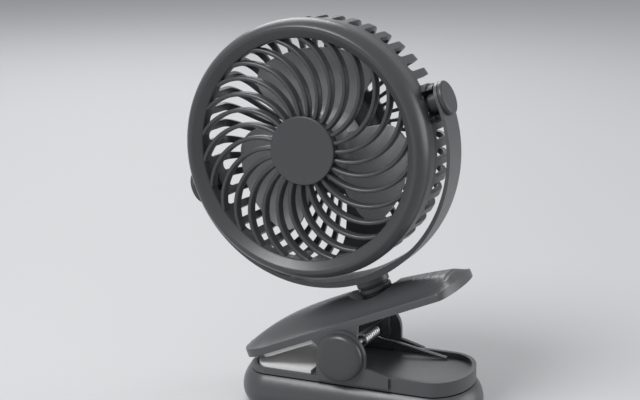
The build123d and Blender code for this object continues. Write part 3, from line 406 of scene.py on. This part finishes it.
def finish(slot):
    """The material for a slot of the record, made when it is first asked for."""
    name, colour, roughness, bump, metallic = FINISHES[slot]
    if name in bpy.data.materials:
        return bpy.data.materials[name]
    if isinstance(colour, str):
        colour = getattr(bpy.context.scene.clip_fan_finish, colour)
    material, tree, shader, position = node_tree(name)
    effect = tree.nodes.new("ShaderNodeGroup")
    effect.node_tree = moulded_surface()
    tree.links.new(position, effect.inputs["Position"])
    effect.inputs["Roughness"].default_value = roughness
    tree.links.new(scaled_colour(tree, colour, effect.outputs["Shade"]), shader.inputs["Base Color"])
    tree.links.new(effect.outputs["Roughness"], shader.inputs["Roughness"])
    shader.inputs["Metallic"].default_value = metallic
    relief = tree.nodes.new("ShaderNodeBump")
    relief.inputs["Strength"].default_value = bump
    relief.inputs["Distance"].default_value = BUMP_LIFT
    tree.links.new(effect.outputs["Height"], relief.inputs["Height"])
    tree.links.new(relief.outputs["Normal"], shader.inputs["Normal"])
    return material


# ---------------------------------------------------------------- fan head

RIB_ROOT_R, RIB_FRONT, RIB_BACK = 19.8, 4.8, 10.8
RIB_SWEEP, RIB_LEAD, RIB_FIRST = 102.2, -2.6, -7.2       # degrees of a rib, before its root, of the first rib
RING_R, RING_WALL_R, RING_FLOOR, RING_BORE = 19.6, 18, 6.6, 6

CAGE_R, CAGE_BACK, CAGE_WALL = 73.5, 57.0, 3.0
HALF_SLOT = 2.6                          # degrees
SLOT_ROOT_R, SLOT_SWEEP = 36.0, 7.3      # where a slot starts, and the degrees that it sweeps on its way out
NARROW_FROM_R, NARROWER = 60, 0.13       # a slot gets narrower from this radius, at the rim by this share
FIRST_PLACE, BRIDGE = 10.4, (-108, -80.5)                # degrees round the head
SIDE_D, SHORT_D = 28.7, 41.2             # depths where a slot ends, and where it does beside a boss
BOSS_HALF_TURN, BOSS_HALF = 10, 5.9      # degrees with short slots; half the width of a boss's opening
PILLAR_R, PILLAR_AT = 2.6, 22.8
HOOD_WINDOW = 7.4                        # half the width of a boss's front window

BLADE_TIP_R, BLADE_ROOT_R, BLADE_CORNER = 56.0, 20.0, 12.0
BLADE_HALF_TURN, BLADE_TURN_LOSS = 48, 8         # degrees of half a blade at its root, and fewer at its tip
PLATE_FROM, PLATE_LONG = 16, 42          # the twisted plate that a blade is cut from: start and length
PLATE_HALF, PLATE_GAIN = 17, 31          # half its width at the start, and what it gains along its length
BLADE_BACK, BLADE_FRONT, BLADE_CAMBER, BLADE_FIRST = 40, 24, 1.6, 75


class CLIPFAN_OT_front_guard(bpy.types.Operator):
    """Bezel, curved ribs and the ring that they spring from"""
    bl_idname = "clipfan.front_guard"
    bl_label = "Front guard"

    def execute(self, context):
        head = context.scene.clip_fan_head
        bm = bmesh.new()
        mouth = [(63.9, 11.6)] + arc((63.9, 5.6), (64.15, 4.8), (64.8, 4.2), 3)
        crest = arc((68.4, 0.85), (69.8, 0.3), (71.2, 0.62), 5)
        outer = arc((71.2, 0.62), (73.7, 3.9), (75, 11), 10)[1:]
        skirt = [(74.85, 14), (74.3, 19.7), (73.8, 20.2), (72.0, 20.2)]
        inside = arc((73.0, 11), (71.8, 5.6), (69.8, 2.3), 6) + [(65.9, 6.0), (65.9, 11.6)]
        head_lathe(bm, mouth + crest + outer + skirt + inside, 144)
        ring = [(RING_R, RIB_FRONT), (RING_R, RIB_BACK), (RING_WALL_R, RIB_BACK), (RING_WALL_R, RING_FLOOR)]
        head_lathe(bm, [(RING_BORE, RIB_FRONT)] + ring + [(RING_BORE, RING_FLOOR)])
        piece("guard_frame", bm, HEAD, "fan_head", "guard_plastic", ["front_guard"], (0.25, 2))

        bm = bmesh.new()
        half, shoulder = head.rib_width / 2, 5.7
        crown = arc((half, shoulder), (0, RIB_FRONT), (-half, shoulder), 6)
        section = [(half, RIB_BACK)] + crown + [(-half, RIB_BACK)]
        verts, edges = outline_edges(bm, [(RIB_ROOT_R, x, depth(d)) for x, d in section], True)
        end = bm.faces.new(verts)
        bend = (RIB_ROOT_R, head.rib_bend, 0)
        bmesh.ops.rotate(bm, verts=verts, cent=bend, matrix=about_z(RIB_LEAD))
        bmesh.ops.spin(bm, geom=verts + edges + [end], cent=bend, axis=Z_AXIS,
                       angle=math.radians(RIB_SWEEP), steps=28)
        fill_ends(bm)
        bmesh.ops.rotate(bm, verts=bm.verts, cent=CENTRE, matrix=about_z(RIB_FIRST))
        repeated(bm, head.rib_count)
        piece("guard_ribs", bm, HEAD, "fan_head", "guard_plastic", ["front_guard"])
        return {"FINISHED"}


class CLIPFAN_OT_centre_cap(bpy.types.Operator):
    """Flat round cap on the guard's middle"""
    bl_idname = "clipfan.centre_cap"
    bl_label = "Centre cap"

    def execute(self, context):
        bm = bmesh.new()
        front, back, r = 3.2, 4.7, 19.8
        edge = arc((19.1, front), (19.6, 3.42), (r, 3.9), 4)
        profile = [(0, front), (18.8, front)] + edge + [(r, back), (0, back)]
        head_lathe(bm, profile, 128, closed=False)
        piece("cap_disc", bm, HEAD, "fan_head", "guard_plastic", ["centre_cap"])
        return {"FINISHED"}


def hood(bm, r, side, low, high):
    """Round bar beside the cage, flat in front, with a slot there as wide as the window."""
    top = min(depth(20.9), math.sqrt(r * r - HOOD_WINDOW * HOOD_WINDOW))
    first = math.atan2(math.sqrt(r * r - top * top), top)
    turns = [first + (TURN - 2 * first) * i / 48 for i in range(49)]
    outline = [(r * math.sin(t), r * math.cos(t)) for t in turns]
    if r * math.sin(first) > HOOD_WINDOW + 0.1:
        outline += [(-HOOD_WINDOW, top), (-HOOD_WINDOW, 0), (HOOD_WINDOW, 0), (HOOD_WINDOW, top)]
    else:
        outline += [(-HOOD_WINDOW, 0), (HOOD_WINDOW, 0)]
    prism(bm, [(side * low, y, z) for y, z in outline], (side * (high - low), 0, 0))


class CLIPFAN_OT_rear_cage(bpy.types.Operator):
    """Bowl with swept slots, side bosses and the pocket behind the motor"""
    bl_idname = "clipfan.rear_cage"
    bl_label = "Rear cage"

    def execute(self, context):
        self.bowl(context.scene.clip_fan_head.slot_count)
        self.pocket()
        self.bosses()
        return {"FINISHED"}

    def bowl(self, count):
        """The slotted bowl. Its grid has columns for each slot place and a row for each profile point."""
        columns = [-180 / count] + [share * HALF_SLOT for share in (-1, -0.866, -0.5, 0, 0.5, 0.866, 1)]
        rows = [(r, CAGE_BACK) for r in (28.0, 31.0, 33.6, SLOT_ROOT_R, 41.0, 47.0, 53.0)]
        rows += arc((59.5, CAGE_BACK), (69.4, 52.9), (CAGE_R, 43.0), 8)
        rows += [(CAGE_R, d) for d in (SHORT_D, 37.8, 34.4, 31.4, SIDE_D, 25.0, 21.0)]
        first_row = rows.index((SLOT_ROOT_R, CAGE_BACK))
        side_end, boss_end = rows.index((CAGE_R, SIDE_D)), rows.index((CAGE_R, SHORT_D))
        wide, along = len(columns), len(rows) - 1
        across = count * wide

        def sector(i):
            """Angle of a column's slot place, whether that is cut, and the row where its slot ends."""
            middle = FIRST_PLACE - 360 / count * (i // wide)
            turned = (middle + 180) % 360 - 180
            cut = not BRIDGE[0] < turned < BRIDGE[1]
            from_axis = min(abs(turned), abs(abs(turned) - 180))
            return middle, cut, boss_end if from_axis < BOSS_HALF_TURN else side_end

        def place(i, j):
            middle, cut, last = sector(i)
            r, d = rows[j]
            offset = columns[i % wide]
            lean = SLOT_SWEEP * (1 - held((r - SLOT_ROOT_R) / (CAGE_R - SLOT_ROOT_R)))
            inside = abs(offset) <= HALF_SLOT + 1e-6
            narrower = 1 - NARROWER * held((r - NARROW_FROM_R) / (CAGE_R - NARROW_FROM_R)) if inside else 1
            if inside and cut and j in (first_row, last):        # the slot's round ends
                bump = math.sqrt(max(0, 1 - (offset / HALF_SLOT) ** 2)) * r * math.radians(HALF_SLOT)
                if j == first_row:
                    r -= bump * 0.9
                else:
                    d -= bump * 0.75
            angle = math.radians(middle - offset * narrower + lean)
            return Vector((r * math.cos(angle), r * math.sin(angle), depth(d)))

        bm = bmesh.new()
        made = bmesh.ops.create_grid(bm, x_segments=across, y_segments=along, size=1)
        doomed = []
        for face in bm.faces:
            middle = face.calc_center_median()
            i, j = int((middle.x + 1) / 2 * across), int((middle.y + 1) / 2 * along)
            _, cut, last = sector(i)
            slot = cut and 1 <= i % wide < wide - 1 and first_row <= j < last
            if slot or (j >= side_end and abs((place(i, j) + place(i + 1, j)).y) / 2 < BOSS_HALF):
                doomed.append(face)
        for vert in made["verts"]:
            vert.co = place(*grid_index(vert, across, along))
        bmesh.ops.delete(bm, geom=doomed, context="FACES")
        bmesh.ops.remove_doubles(bm, verts=bm.verts, dist=COARSE_MERGE)
        bmesh.ops.recalc_face_normals(bm, faces=bm.faces)
        outward = sum(1 if face.normal.dot(face.calc_center_median()) > 0 else -1 for face in bm.faces)
        if outward < 0:
            bmesh.ops.reverse_faces(bm, faces=bm.faces)
        piece("cage_bowl", bm, HEAD, "fan_head", "guard_plastic", ["rear_cage"], (0.45, 2), CAGE_WALL,
              recalc=False)

    def pocket(self):
        """The cup for the motor and the electrics, with a ring round the motor and pillars for the screws."""
        bm = bmesh.new()
        head_lathe(bm, [(0, 46.2), (28, 46.2), (28, 57), (28.8, 57), (30, 56), (30, 44), (0, 44)], 96, False)
        head_lathe(bm, [(12.3, 38), (14.3, 38), (14.3, 44.2), (12.3, 44.2)], 64)
        for angle in (90, 210, 330):
            turn = math.radians(angle)
            at = (PILLAR_AT * math.cos(turn), PILLAR_AT * math.sin(turn))
            bar(bm, PILLAR_R, depth(55.6), depth(46), at)
        piece("cage_pocket", bm, HEAD, "fan_head", "guard_plastic", ["rear_cage"], (0.3, 2))

    def bosses(self):
        """At each side a hooded boss with a shoulder, and in it the sleeve for the tipping screw."""
        sleeve = [(0, 68), (4.2, 68), (4.2, 74.6), (6.1, 74.6), (6.4, 74.9), (6.4, 79.8), (0, 79.8)]
        for name, side in SIDES:
            bm = bmesh.new()
            hood(bm, 9.9, side, 71.0, 79.8)
            hood(bm, 11.4, side, 71.0, 76.0)
            piece(f"cage_boss_{name}", bm, HEAD, "fan_head", "guard_plastic", ["rear_cage"], (0.3, 2))
            bm = bmesh.new()
            lathe(bm, sleeve, 64, False)
            along = HEAD @ Matrix.Rotation(side * TURN / 4, 4, "Y")
            piece(f"cage_sleeve_{name}", bm, along, "fan_head", "guard_plastic", ["rear_cage"])


class CLIPFAN_OT_impeller(bpy.types.Operator):
    """Hub cup with broad twisted blades"""
    bl_idname = "clipfan.impeller"
    bl_label = "Impeller"

    def execute(self, context):
        head = context.scene.clip_fan_head
        along, across = 22, 30
        tip, root = BLADE_TIP_R, BLADE_ROOT_R

        def place(i, j):
            """A point of the blade: its outline seen from the front, then its depth on the twisted plate."""
            r = root + (tip - root) * math.sin(j / along * TURN / 4)
            spread = math.radians(BLADE_HALF_TURN - BLADE_TURN_LOSS * (r - root) / (tip - root)) * r
            if r > tip - BLADE_CORNER:
                spread -= BLADE_CORNER - math.sqrt(max(0, BLADE_CORNER ** 2 - (r - tip + BLADE_CORNER) ** 2))
            turn = spread / r * (2 * i / across - 1)
            x, y = r * math.cos(turn), r * math.sin(turn)
            part = (x - PLATE_FROM) / PLATE_LONG
            chord = PLATE_HALF + PLATE_GAIN * part
            low, high = depth(BLADE_BACK + 2.5 * part), depth(BLADE_FRONT - 5.5 * part)
            share = (y + chord) / (2 * chord)
            bulge = BLADE_CAMBER * (1 - (2 * share - 1) ** 2)
            return Vector((x, y, low + share * (high - low) + bulge - BLADE_CAMBER / 2))

        bm = bmesh.new()
        blade = warped(bm, across, along, place)
        bmesh.ops.rotate(bm, verts=blade, cent=CENTRE, matrix=about_z(BLADE_FIRST))
        repeated(bm, head.blade_count)
        made = piece("impeller_blades", bm, HEAD, "rotor", "blade_plastic", ["impeller"], (0.5, 2),
                     head.blade_thick)
        made.modifiers["Wall"].offset = 0

        bm = bmesh.new()
        profile = [(0, 22.5), (17.0, 22.5)] + arc((17.5, 22.5), (20.4, 23.7), (21.5, 26.5), 6)
        profile += [(21.5, 41.5), (19.7, 41.5), (19.7, 24.5), (3.6, 24.5), (3.6, 29.6), (0, 29.6)]
        head_lathe(bm, profile, 96, False)
        piece("impeller_hub", bm, HEAD, "rotor", "blade_plastic", ["impeller"], (0.2, 2))
        return {"FINISHED"}


# ---------------------------------------------------------------- yoke and neck

class CLIPFAN_OT_yoke(bpy.types.Operator):
    """Half-ring strap with round ends, and a knob over each"""
    bl_idname = "clipfan.yoke"
    bl_label = "Yoke"

    def execute(self, context):
        half, bends, ends, across = 9.9, 96, 12, 8

        def skin(r, drop, end_x, thicker=0.0):
            """One face of the strap: a half ring that hangs lower by drop, with round flat ends."""
            def place(i, j):
                share = 2 * i / across - 1
                past = max(ends - j, j - ends - bends)
                if past > 0:
                    turn = math.radians(88) * past / ends
                    side = -1 if j < ends else 1
                    return Vector((side * end_x, share * half * math.cos(turn), half * math.sin(turn)))
                angle = math.pi * (1 + (j - ends) / bends)
                reach = math.sqrt(r * r - (drop * math.cos(angle)) ** 2) - drop * math.sin(angle)
                reach -= thicker * (1 - eased(abs(angle - 0.75 * TURN), 0.15, 0.5))
                return Vector((reach * math.cos(angle), share * half, reach * math.sin(angle)))
            return place

        bm = bmesh.new()
        slab(bm, across, bends + 2 * ends, skin(82.5, 1.5, 82.5), skin(80.7, 0.8, 80.6, 1.4))
        piece("yoke_strap", bm, UPPER, "yoke_arm", "strap_metal", ["yoke"], (0.35, 3), sharp=50)
        profile = [(0, 82.3), (9.2, 82.3), (9.2, 82.7)] + arc((9.7, 82.7), (9.91, 82.79), (10, 83.0), 3)
        profile += arc((10, 84.4), (9.65, 85.25), (8.8, 85.6), 8) + [(0, 85.6)]
        for name, side in SIDES:
            bm = bmesh.new()
            lathe(bm, profile, 96, False)
            along = UPPER @ Matrix.Rotation(side * TURN / 4, 4, "Y")
            piece(f"yoke_knob_{name}", bm, along, "yoke_arm", "cap_plastic", [f"yoke_cap_{name}"], sharp=50)
        return {"FINISHED"}


class CLIPFAN_OT_neck(bpy.types.Operator):
    """Collar under the yoke and the stem that stands in the jaw's dish"""
    bl_idname = "clipfan.neck"
    bl_label = "Neck"

    def execute(self, context):
        bore = 2.1
        bm = bmesh.new()
        ring = [(9.4, -83.4), (9.85, -83.8), (9.85, -86.9), (9.35, -87.4)]
        lathe(bm, [(bore, -83.7)] + ring + [(bore, -87.4)], 72)
        piece("neck_ring", bm, UPPER, "yoke_arm", "cap_plastic", ["yoke_collar"], (0.25, 2))
        bm = bmesh.new()
        flange = [(9.4, -88.3), (9.85, -88.75), (9.85, -91.1), (9.5, -91.5), (8.9, -91.6), (8.9, -92.4)]
        foot = [(8.2, -97.0), (5.0, -97.0), (5.0, -99.1)]
        lathe(bm, [(bore, -88.3)] + flange + foot + [(bore, -99.1)], 72)
        piece("neck_stem", bm, UPPER, "upper_jaw", "cap_plastic", ["neck_base"], (0.2, 2))
        return {"FINISHED"}


# ---------------------------------------------------------------- upper jaw

# Along the jaw: where an end is, and how long its rounding is. Heights are in the frame of the neck.
JAW_NOSE, JAW_TAIL, JAW_HALF = (-90.5, 19.0), (53.5, 7.0), 28.0
JAW_EDGE, JAW_CREASE = -103.9, -99.8
LEDGE, CHAMFER = 1.1, (0.65, 1.0)        # flat rim inside the crease; width and height of the chamfer outside
CROWN_AT, NOSE_FALL, TAIL_FALL = -18, 76, 98     # highest place, and how far from it the ridge is down
NOSE_LIFT, NOSE_RISE = 1.2, (66, 88)     # how far the crease lifts towards the nose, and where
TAIL_ROUND = 8                           # length of the ridge's fall at the handle's end
BELL_ROUND, BELL_CREST = 0.3, 0.16       # share of a plain arch in the bell, and how wide its top is
DISH_FLOOR, DISH_R, DISH_SLOPE, DISH_SOFT = -97.0, 11.5, 1.739, 0.6
GROOVE_FIRST, GROOVE_STEP, GROOVE_DEEP, GROOVE_WIDE = 27.5, 5.2, 0.35, 0.45
PIN_ALONG, PIN_DROP = -21.8, 117.7       # the pin, seen from the tipping axis
EAR_R, EAR_THICK = 9, 2.78


def half_width(at, nose, tail, half):
    """Half the width of a straight-sided outline with elliptical ends, at the distance at along it."""
    if at < nose[0] + nose[1]:
        part = (nose[0] + nose[1] - at) / nose[1]
    elif at > tail[0] - tail[1]:
        part = (at - tail[0] + tail[1]) / tail[1]
    else:
        return half
    return half * math.sqrt(max(0.0, 1 - min(part, 1) ** 2))


def stations(nose, tail, count, end_count):
    """Distances along an outline, closer together in its rounded ends."""
    low, high = nose[0] + nose[1], tail[0] - tail[1]
    turns = [math.radians(86) * i / end_count for i in range(end_count, 0, -1)]
    at = [low - nose[1] * math.sin(t) for t in turns]
    at += [low + (high - low) * i / count for i in range(count + 1)]
    return at + [high + tail[1] * math.sin(t) for t in reversed(turns)]


def jaw_height(s, y, half, crown):
    """Height of the upper jaw's outer face: a bell across, low at both ends, with a dish round the neck."""
    foot = JAW_CREASE + NOSE_LIFT * eased(-s, *NOSE_RISE)
    if s < CROWN_AT:
        arch = 1 - (abs(s - CROWN_AT) / NOSE_FALL) ** 3
    else:
        arch = 1 - ((s - CROWN_AT) / TAIL_FALL) ** 2
    ridge = JAW_CREASE - 0.5 + crown * arch
    part = min(abs(y) / max((half if s < 0 else JAW_HALF) - LEDGE, 0.1), 1)
    bell = BELL_ROUND * (1 - part * part) + (1 - BELL_ROUND) * (1 - eased(part, BELL_CREST, 1))
    end = math.sin(held((JAW_TAIL[0] - s + 0.5) / TAIL_ROUND) * TURN / 4)
    top = foot + max(ridge - foot, 0.5) * bell * end
    dish = DISH_FLOOR + max(0.0, (math.hypot(s, y) - DISH_R) * DISH_SLOPE)
    gap = dish - top
    if gap > DISH_SOFT:
        return top
    if gap < -DISH_SOFT:
        return dish
    return top - (DISH_SOFT - gap) ** 2 / (4 * DISH_SOFT)


class CLIPFAN_OT_upper_jaw(bpy.types.Operator):
    """Domed shell with a dish round the neck, grip grooves and hinge ears"""
    bl_idname = "clipfan.upper_jaw"
    bl_label = "Upper jaw"

    def execute(self, context):
        self.shell(context.scene.clip_fan_clip)
        self.ears()
        return {"FINISHED"}

    def shell(self, clip):
        along = stations(JAW_NOSE, JAW_TAIL, 190, 16)
        across = 72
        inner = (across - 4) / across
        grooves = [GROOVE_FIRST + GROOVE_STEP * i for i in range(clip.grooves)]

        def place(i, j):
            s = along[j]
            half = half_width(s, JAW_NOSE, JAW_TAIL, JAW_HALF)
            step = 2 * i / across - 1
            rim = i in (0, across)
            if abs(step) > inner + 0.001:
                y = math.copysign(half - (0 if rim else CHAMFER[0]), step)
            else:
                y = step / inner * (half - LEDGE)
            h = jaw_height(s, y, half, clip.crown) - (CHAMFER[1] if rim else 0)
            for groove in grooves:
                dip = GROOVE_DEEP * math.exp(-((s - groove) / GROOVE_WIDE) ** 2)
                h -= dip * (1 - eased(abs(y), 11.5, 13.5))
            return Vector((s, y, h))

        bm = bmesh.new()
        warped(bm, across, len(along) - 1, place)
        skirt = bmesh.ops.extrude_edge_only(bm, edges=[e for e in bm.edges if e.is_boundary])
        for vert in new_verts(skirt):
            vert.co.z = JAW_EDGE
        bmesh.ops.recalc_face_normals(bm, faces=bm.faces)
        if sum(f.normal.z for f in bm.faces) < 0:
            bmesh.ops.reverse_faces(bm, faces=bm.faces)
        piece("jaw_shell", bm, UPPER, "upper_jaw", "shell_plastic", ["top_jaw"], (0.22, 3), clip.wall,
              sharp=40, recalc=False)

    def ears(self):
        """Two plates that hang from the jaw and go round the pin."""
        bm = bmesh.new()
        front, back, root = -37, -6, -101.5
        low = -PIN_DROP
        tip = arc((PIN_ALONG + EAR_R, low), (PIN_ALONG, low - EAR_R), (PIN_ALONG - EAR_R, low), 20)
        outline = [(front, root), (back, root), (back, JAW_EDGE)] + tip + [(front, JAW_EDGE)]
        for y in (-27.98, 25.2):
            prism(bm, [(s, y, h) for s, h in outline], (0, EAR_THICK, 0))
        piece("jaw_ears", bm, UPPER, "upper_jaw", "shell_plastic", ["top_jaw"], (0.3, 2))


def flat_slab(bm, nose, tail, half, low, high, keep):
    """A slab with the clip's rounded outline, cut off straight at keep."""
    at = [a for a in stations(nose, tail, 24, 10) if a < keep] + [keep]
    across = 12

    def place(i, j):
        return Vector((at[j], (2 * i / across - 1) * half_width(at[j], nose, tail, half), low))

    verts = warped(bm, across, len(at) - 1, place)
    faces = list({f for v in verts for f in v.link_faces})
    pushed = bmesh.ops.extrude_face_region(bm, geom=faces, use_keep_orig=True)
    bmesh.ops.translate(bm, verts=new_verts(pushed), vec=(0, 0, high - low))


class CLIPFAN_OT_pads(bpy.types.Operator):
    """Soft pads of the mouth"""
    bl_idname = "clipfan.pads"
    bl_label = "Pads"

    def execute(self, context):
        half, soft = 26.4, (context.scene.clip_fan_clip.pad_round, 3)
        bm = bmesh.new()
        flat_slab(bm, (-79.5, 13.4), JAW_TAIL, half, -106.2, -103.95, keep=-38.0)
        top = piece("pad_upper", bm, UPPER, "upper_jaw", "pad_rubber", ["top_pad"], soft)
        bm = bmesh.new()
        flat_slab(bm, (-60.8, 12.5), (70.0, 20.0), half, 23.75, 25.7, keep=-20.5)
        low = piece("pad_lower", bm, TABLE, "base", "pad_rubber", ["bottom_pad"], soft)
        return {"FINISHED"}


# ---------------------------------------------------------------- base

class CLIPFAN_OT_hinge_caps(bpy.types.Operator):
    """Plump round covers over the ends of the pin"""
    bl_idname = "clipfan.hinge_caps"
    bl_label = "Hinge caps"

    def execute(self, context):
        profile = [(0, 36.4), (8, 36.35), (10.6, 36.1)] + arc((11.8, 35.75), (13.4, 34.7), (14.1, 33.0), 8)
        profile += [(14.1, 31.8), (13.7, 31.3), (0, 31.3)]
        for name, side in (("front", 1), ("rear", -1)):
            bm = bmesh.new()
            lathe(bm, profile, 96, False)
            place = TABLE @ Matrix.Translation((0, 0, PIN_UP)) @ Matrix.Rotation(side * TURN / 4, 4, "X")
            piece(f"hinge_cap_{name}", bm, place, "base", "cap_plastic", [f"pivot_cap_{name}"], sharp=50)
        return {"FINISHED"}


class CLIPFAN_OT_lower_clip(bpy.types.Operator):
    """Deck, tray and ears of the lower jaw, and the bulging shell under them"""
    bl_idname = "clipfan.lower_clip"
    bl_label = "Lower clip"

    def execute(self, context):
        deck_low, deck_high, nose_end = 20.6, 23.8, 49

        def leaning(co):
            """The deck's edge leans inwards towards its top, most at the nose."""
            rise = eased(co.z, deck_low, deck_high) * eased(-co.x, 18, 30)
            nose = min(co.x + nose_end, 0)
            return Vector((co.x - 0.3 * nose * rise, co.y * (1 - 0.05 * rise), co.z))

        rounded_copy("tray", "bottom_jaw", "base", "shell_plastic", (0.5, 3), leaning)
        rounded_copy("belly", "base_shell", "base", "shell_plastic", (0.35, 2))
        return {"FINISHED"}


class CLIPFAN_OT_hub(bpy.types.Operator):
    """Cover over the electrics at the back"""
    bl_idname = "clipfan.hub"
    bl_label = "Hub cover"

    def execute(self, context):
        rounded_copy("back_cover", "hub_cover", "fan_head", "guard_plastic", (0.25, 2))
        return {"FINISHED"}


class CLIPFAN_OT_spring(bpy.types.Operator):
    """The wire of the clip's spring, made in one shape; on the real clip it winds up between its two legs as the
    clip opens
    """
    bl_idname = "clipfan.spring"
    bl_label = "Spring"

    def execute(self, context):
        made = piece("spring", merged_copy("torsion_spring"), TABLE, None, "spring_steel", ["torsion_spring"],
                     recalc=False)
        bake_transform(made)
        return {"FINISHED"}


class CLIPFAN_OT_carried(bpy.types.Operator):
    """Finishes for the pieces whose shape comes from the model"""
    bl_idname = "clipfan.carried"
    bl_label = "Carried pieces"

    def execute(self, context):
        for part in frame["record"]["subparts"]:
            for slot in frame["nodes"][part["node"]].material_slots:
                slot.material = finish(part["material_slot"])
        return {"FINISHED"}


# ---------------------------------------------------------------- stage

FLOOR_R, FLOOR_COLOUR, FLOOR_ROUGH = 8, (0.52, 0.525, 0.535, 1), 0.7
SKY_COLOUR, SKY_STRENGTH = (0.72, 0.73, 0.75, 1), 0.62
LAMPS = {                                # place, target, size and power
    "key": ((-0.4, -0.85, 1.25), (0, 0, 0.13), 0.8, 18),
    "window": ((-0.7, 1.0, 0.95), (0, 0, 0.1), 0.9, 8),
    "side": ((1.2, 0.7, 0.3), (0, 0, 0.13), 1.0, 7),
}
CAMERA_AT, CAMERA_TILT, CAMERA_ROUND = (0.3562, -0.8954, 0.3660), 75.90, 23.11
CAMERA_LENS, CAMERA_SENSOR = 96.6, 36


def placed(name, data, place):
    """A new object at a place."""
    made = bpy.data.objects.new(name, data)
    made.location = place
    bpy.context.scene.collection.objects.link(made)
    return made


class CLIPFAN_OT_stage(bpy.types.Operator):
    """Pale floor, soft lights and the camera"""
    bl_idname = "clipfan.stage"
    bl_label = "Stage"

    def execute(self, context):
        scene = context.scene
        bm = bmesh.new()
        bmesh.ops.create_circle(bm, cap_ends=True, radius=FLOOR_R, segments=96)
        mesh = bpy.data.meshes.new("floor")
        bm.to_mesh(mesh)
        bm.free()
        floor = placed("floor", mesh, CENTRE)
        material, _, shader, _ = node_tree("Floor")
        shader.inputs["Base Color"].default_value = FLOOR_COLOUR
        shader.inputs["Roughness"].default_value = FLOOR_ROUGH
        mesh.materials.append(material)

        world = bpy.data.worlds.new("Studio")
        world.use_nodes = True
        sky = world.node_tree.nodes["Background"].inputs
        sky["Color"].default_value = SKY_COLOUR
        sky["Strength"].default_value = SKY_STRENGTH
        scene.world = world
        for name, (place, target, size, power) in LAMPS.items():
            lamp = bpy.data.lights.new(name, "AREA")
            lamp.shape, lamp.size, lamp.energy = "DISK", size, power
            way = Vector(target) - Vector(place)
            placed(name, lamp, place).rotation_euler = way.to_track_quat("-Z", "Y").to_euler()

        lens = bpy.data.cameras.new("camera")
        lens.lens, lens.sensor_width = CAMERA_LENS, CAMERA_SENSOR
        scene.camera = placed("camera", lens, CAMERA_AT)
        scene.camera.rotation_euler = (math.radians(CAMERA_TILT), 0, math.radians(CAMERA_ROUND))
        scene.view_settings.view_transform = "Standard"
        return {"FINISHED"}


class CLIPFAN_PT_panel(bpy.types.Panel):
    """Buttons for every piece, with the sizes and colours that can be changed"""
    bl_label = "Clip fan"
    bl_idname = "CLIPFAN_PT_panel"
    bl_space_type = "VIEW_3D"
    bl_region_type = "UI"
    bl_category = "Clip fan"

    def draw(self, context):
        for name in GROUPS:
            group = getattr(context.scene, name)
            box = self.layout.box()
            for setting in group.__annotations__:
                box.prop(group, setting)
        for operator in OPERATORS:
            self.layout.operator(operator.bl_idname)


GROUPS = {"clip_fan_head": ClipFanHead, "clip_fan_clip": ClipFanClip, "clip_fan_finish": ClipFanFinish}
OPERATORS = (
    CLIPFAN_OT_front_guard, CLIPFAN_OT_centre_cap, CLIPFAN_OT_rear_cage, CLIPFAN_OT_impeller, CLIPFAN_OT_yoke,
    CLIPFAN_OT_neck, CLIPFAN_OT_upper_jaw, CLIPFAN_OT_pads, CLIPFAN_OT_lower_clip, CLIPFAN_OT_hinge_caps,
    CLIPFAN_OT_hub, CLIPFAN_OT_spring, CLIPFAN_OT_carried, CLIPFAN_OT_stage,
)


def register():
    for made in (*GROUPS.values(), *OPERATORS, CLIPFAN_PT_panel):
        bpy.utils.register_class(made)
    for name, group in GROUPS.items():
        setattr(bpy.types.Scene, name, bpy.props.PointerProperty(type=group))


def unregister():
    for name in GROUPS:
        delattr(bpy.types.Scene, name)
    for made in reversed((*GROUPS.values(), *OPERATORS, CLIPFAN_PT_panel)):
        bpy.utils.unregister_class(made)


def main():
    register()
    for operator in OPERATORS:
        section, name = operator.bl_idname.split(".")
        if getattr(getattr(bpy.ops, section), name)() != {"FINISHED"}:
            raise RuntimeError(f"{operator.bl_label} wasn't finished")


if __name__ == "__main__":
    main()
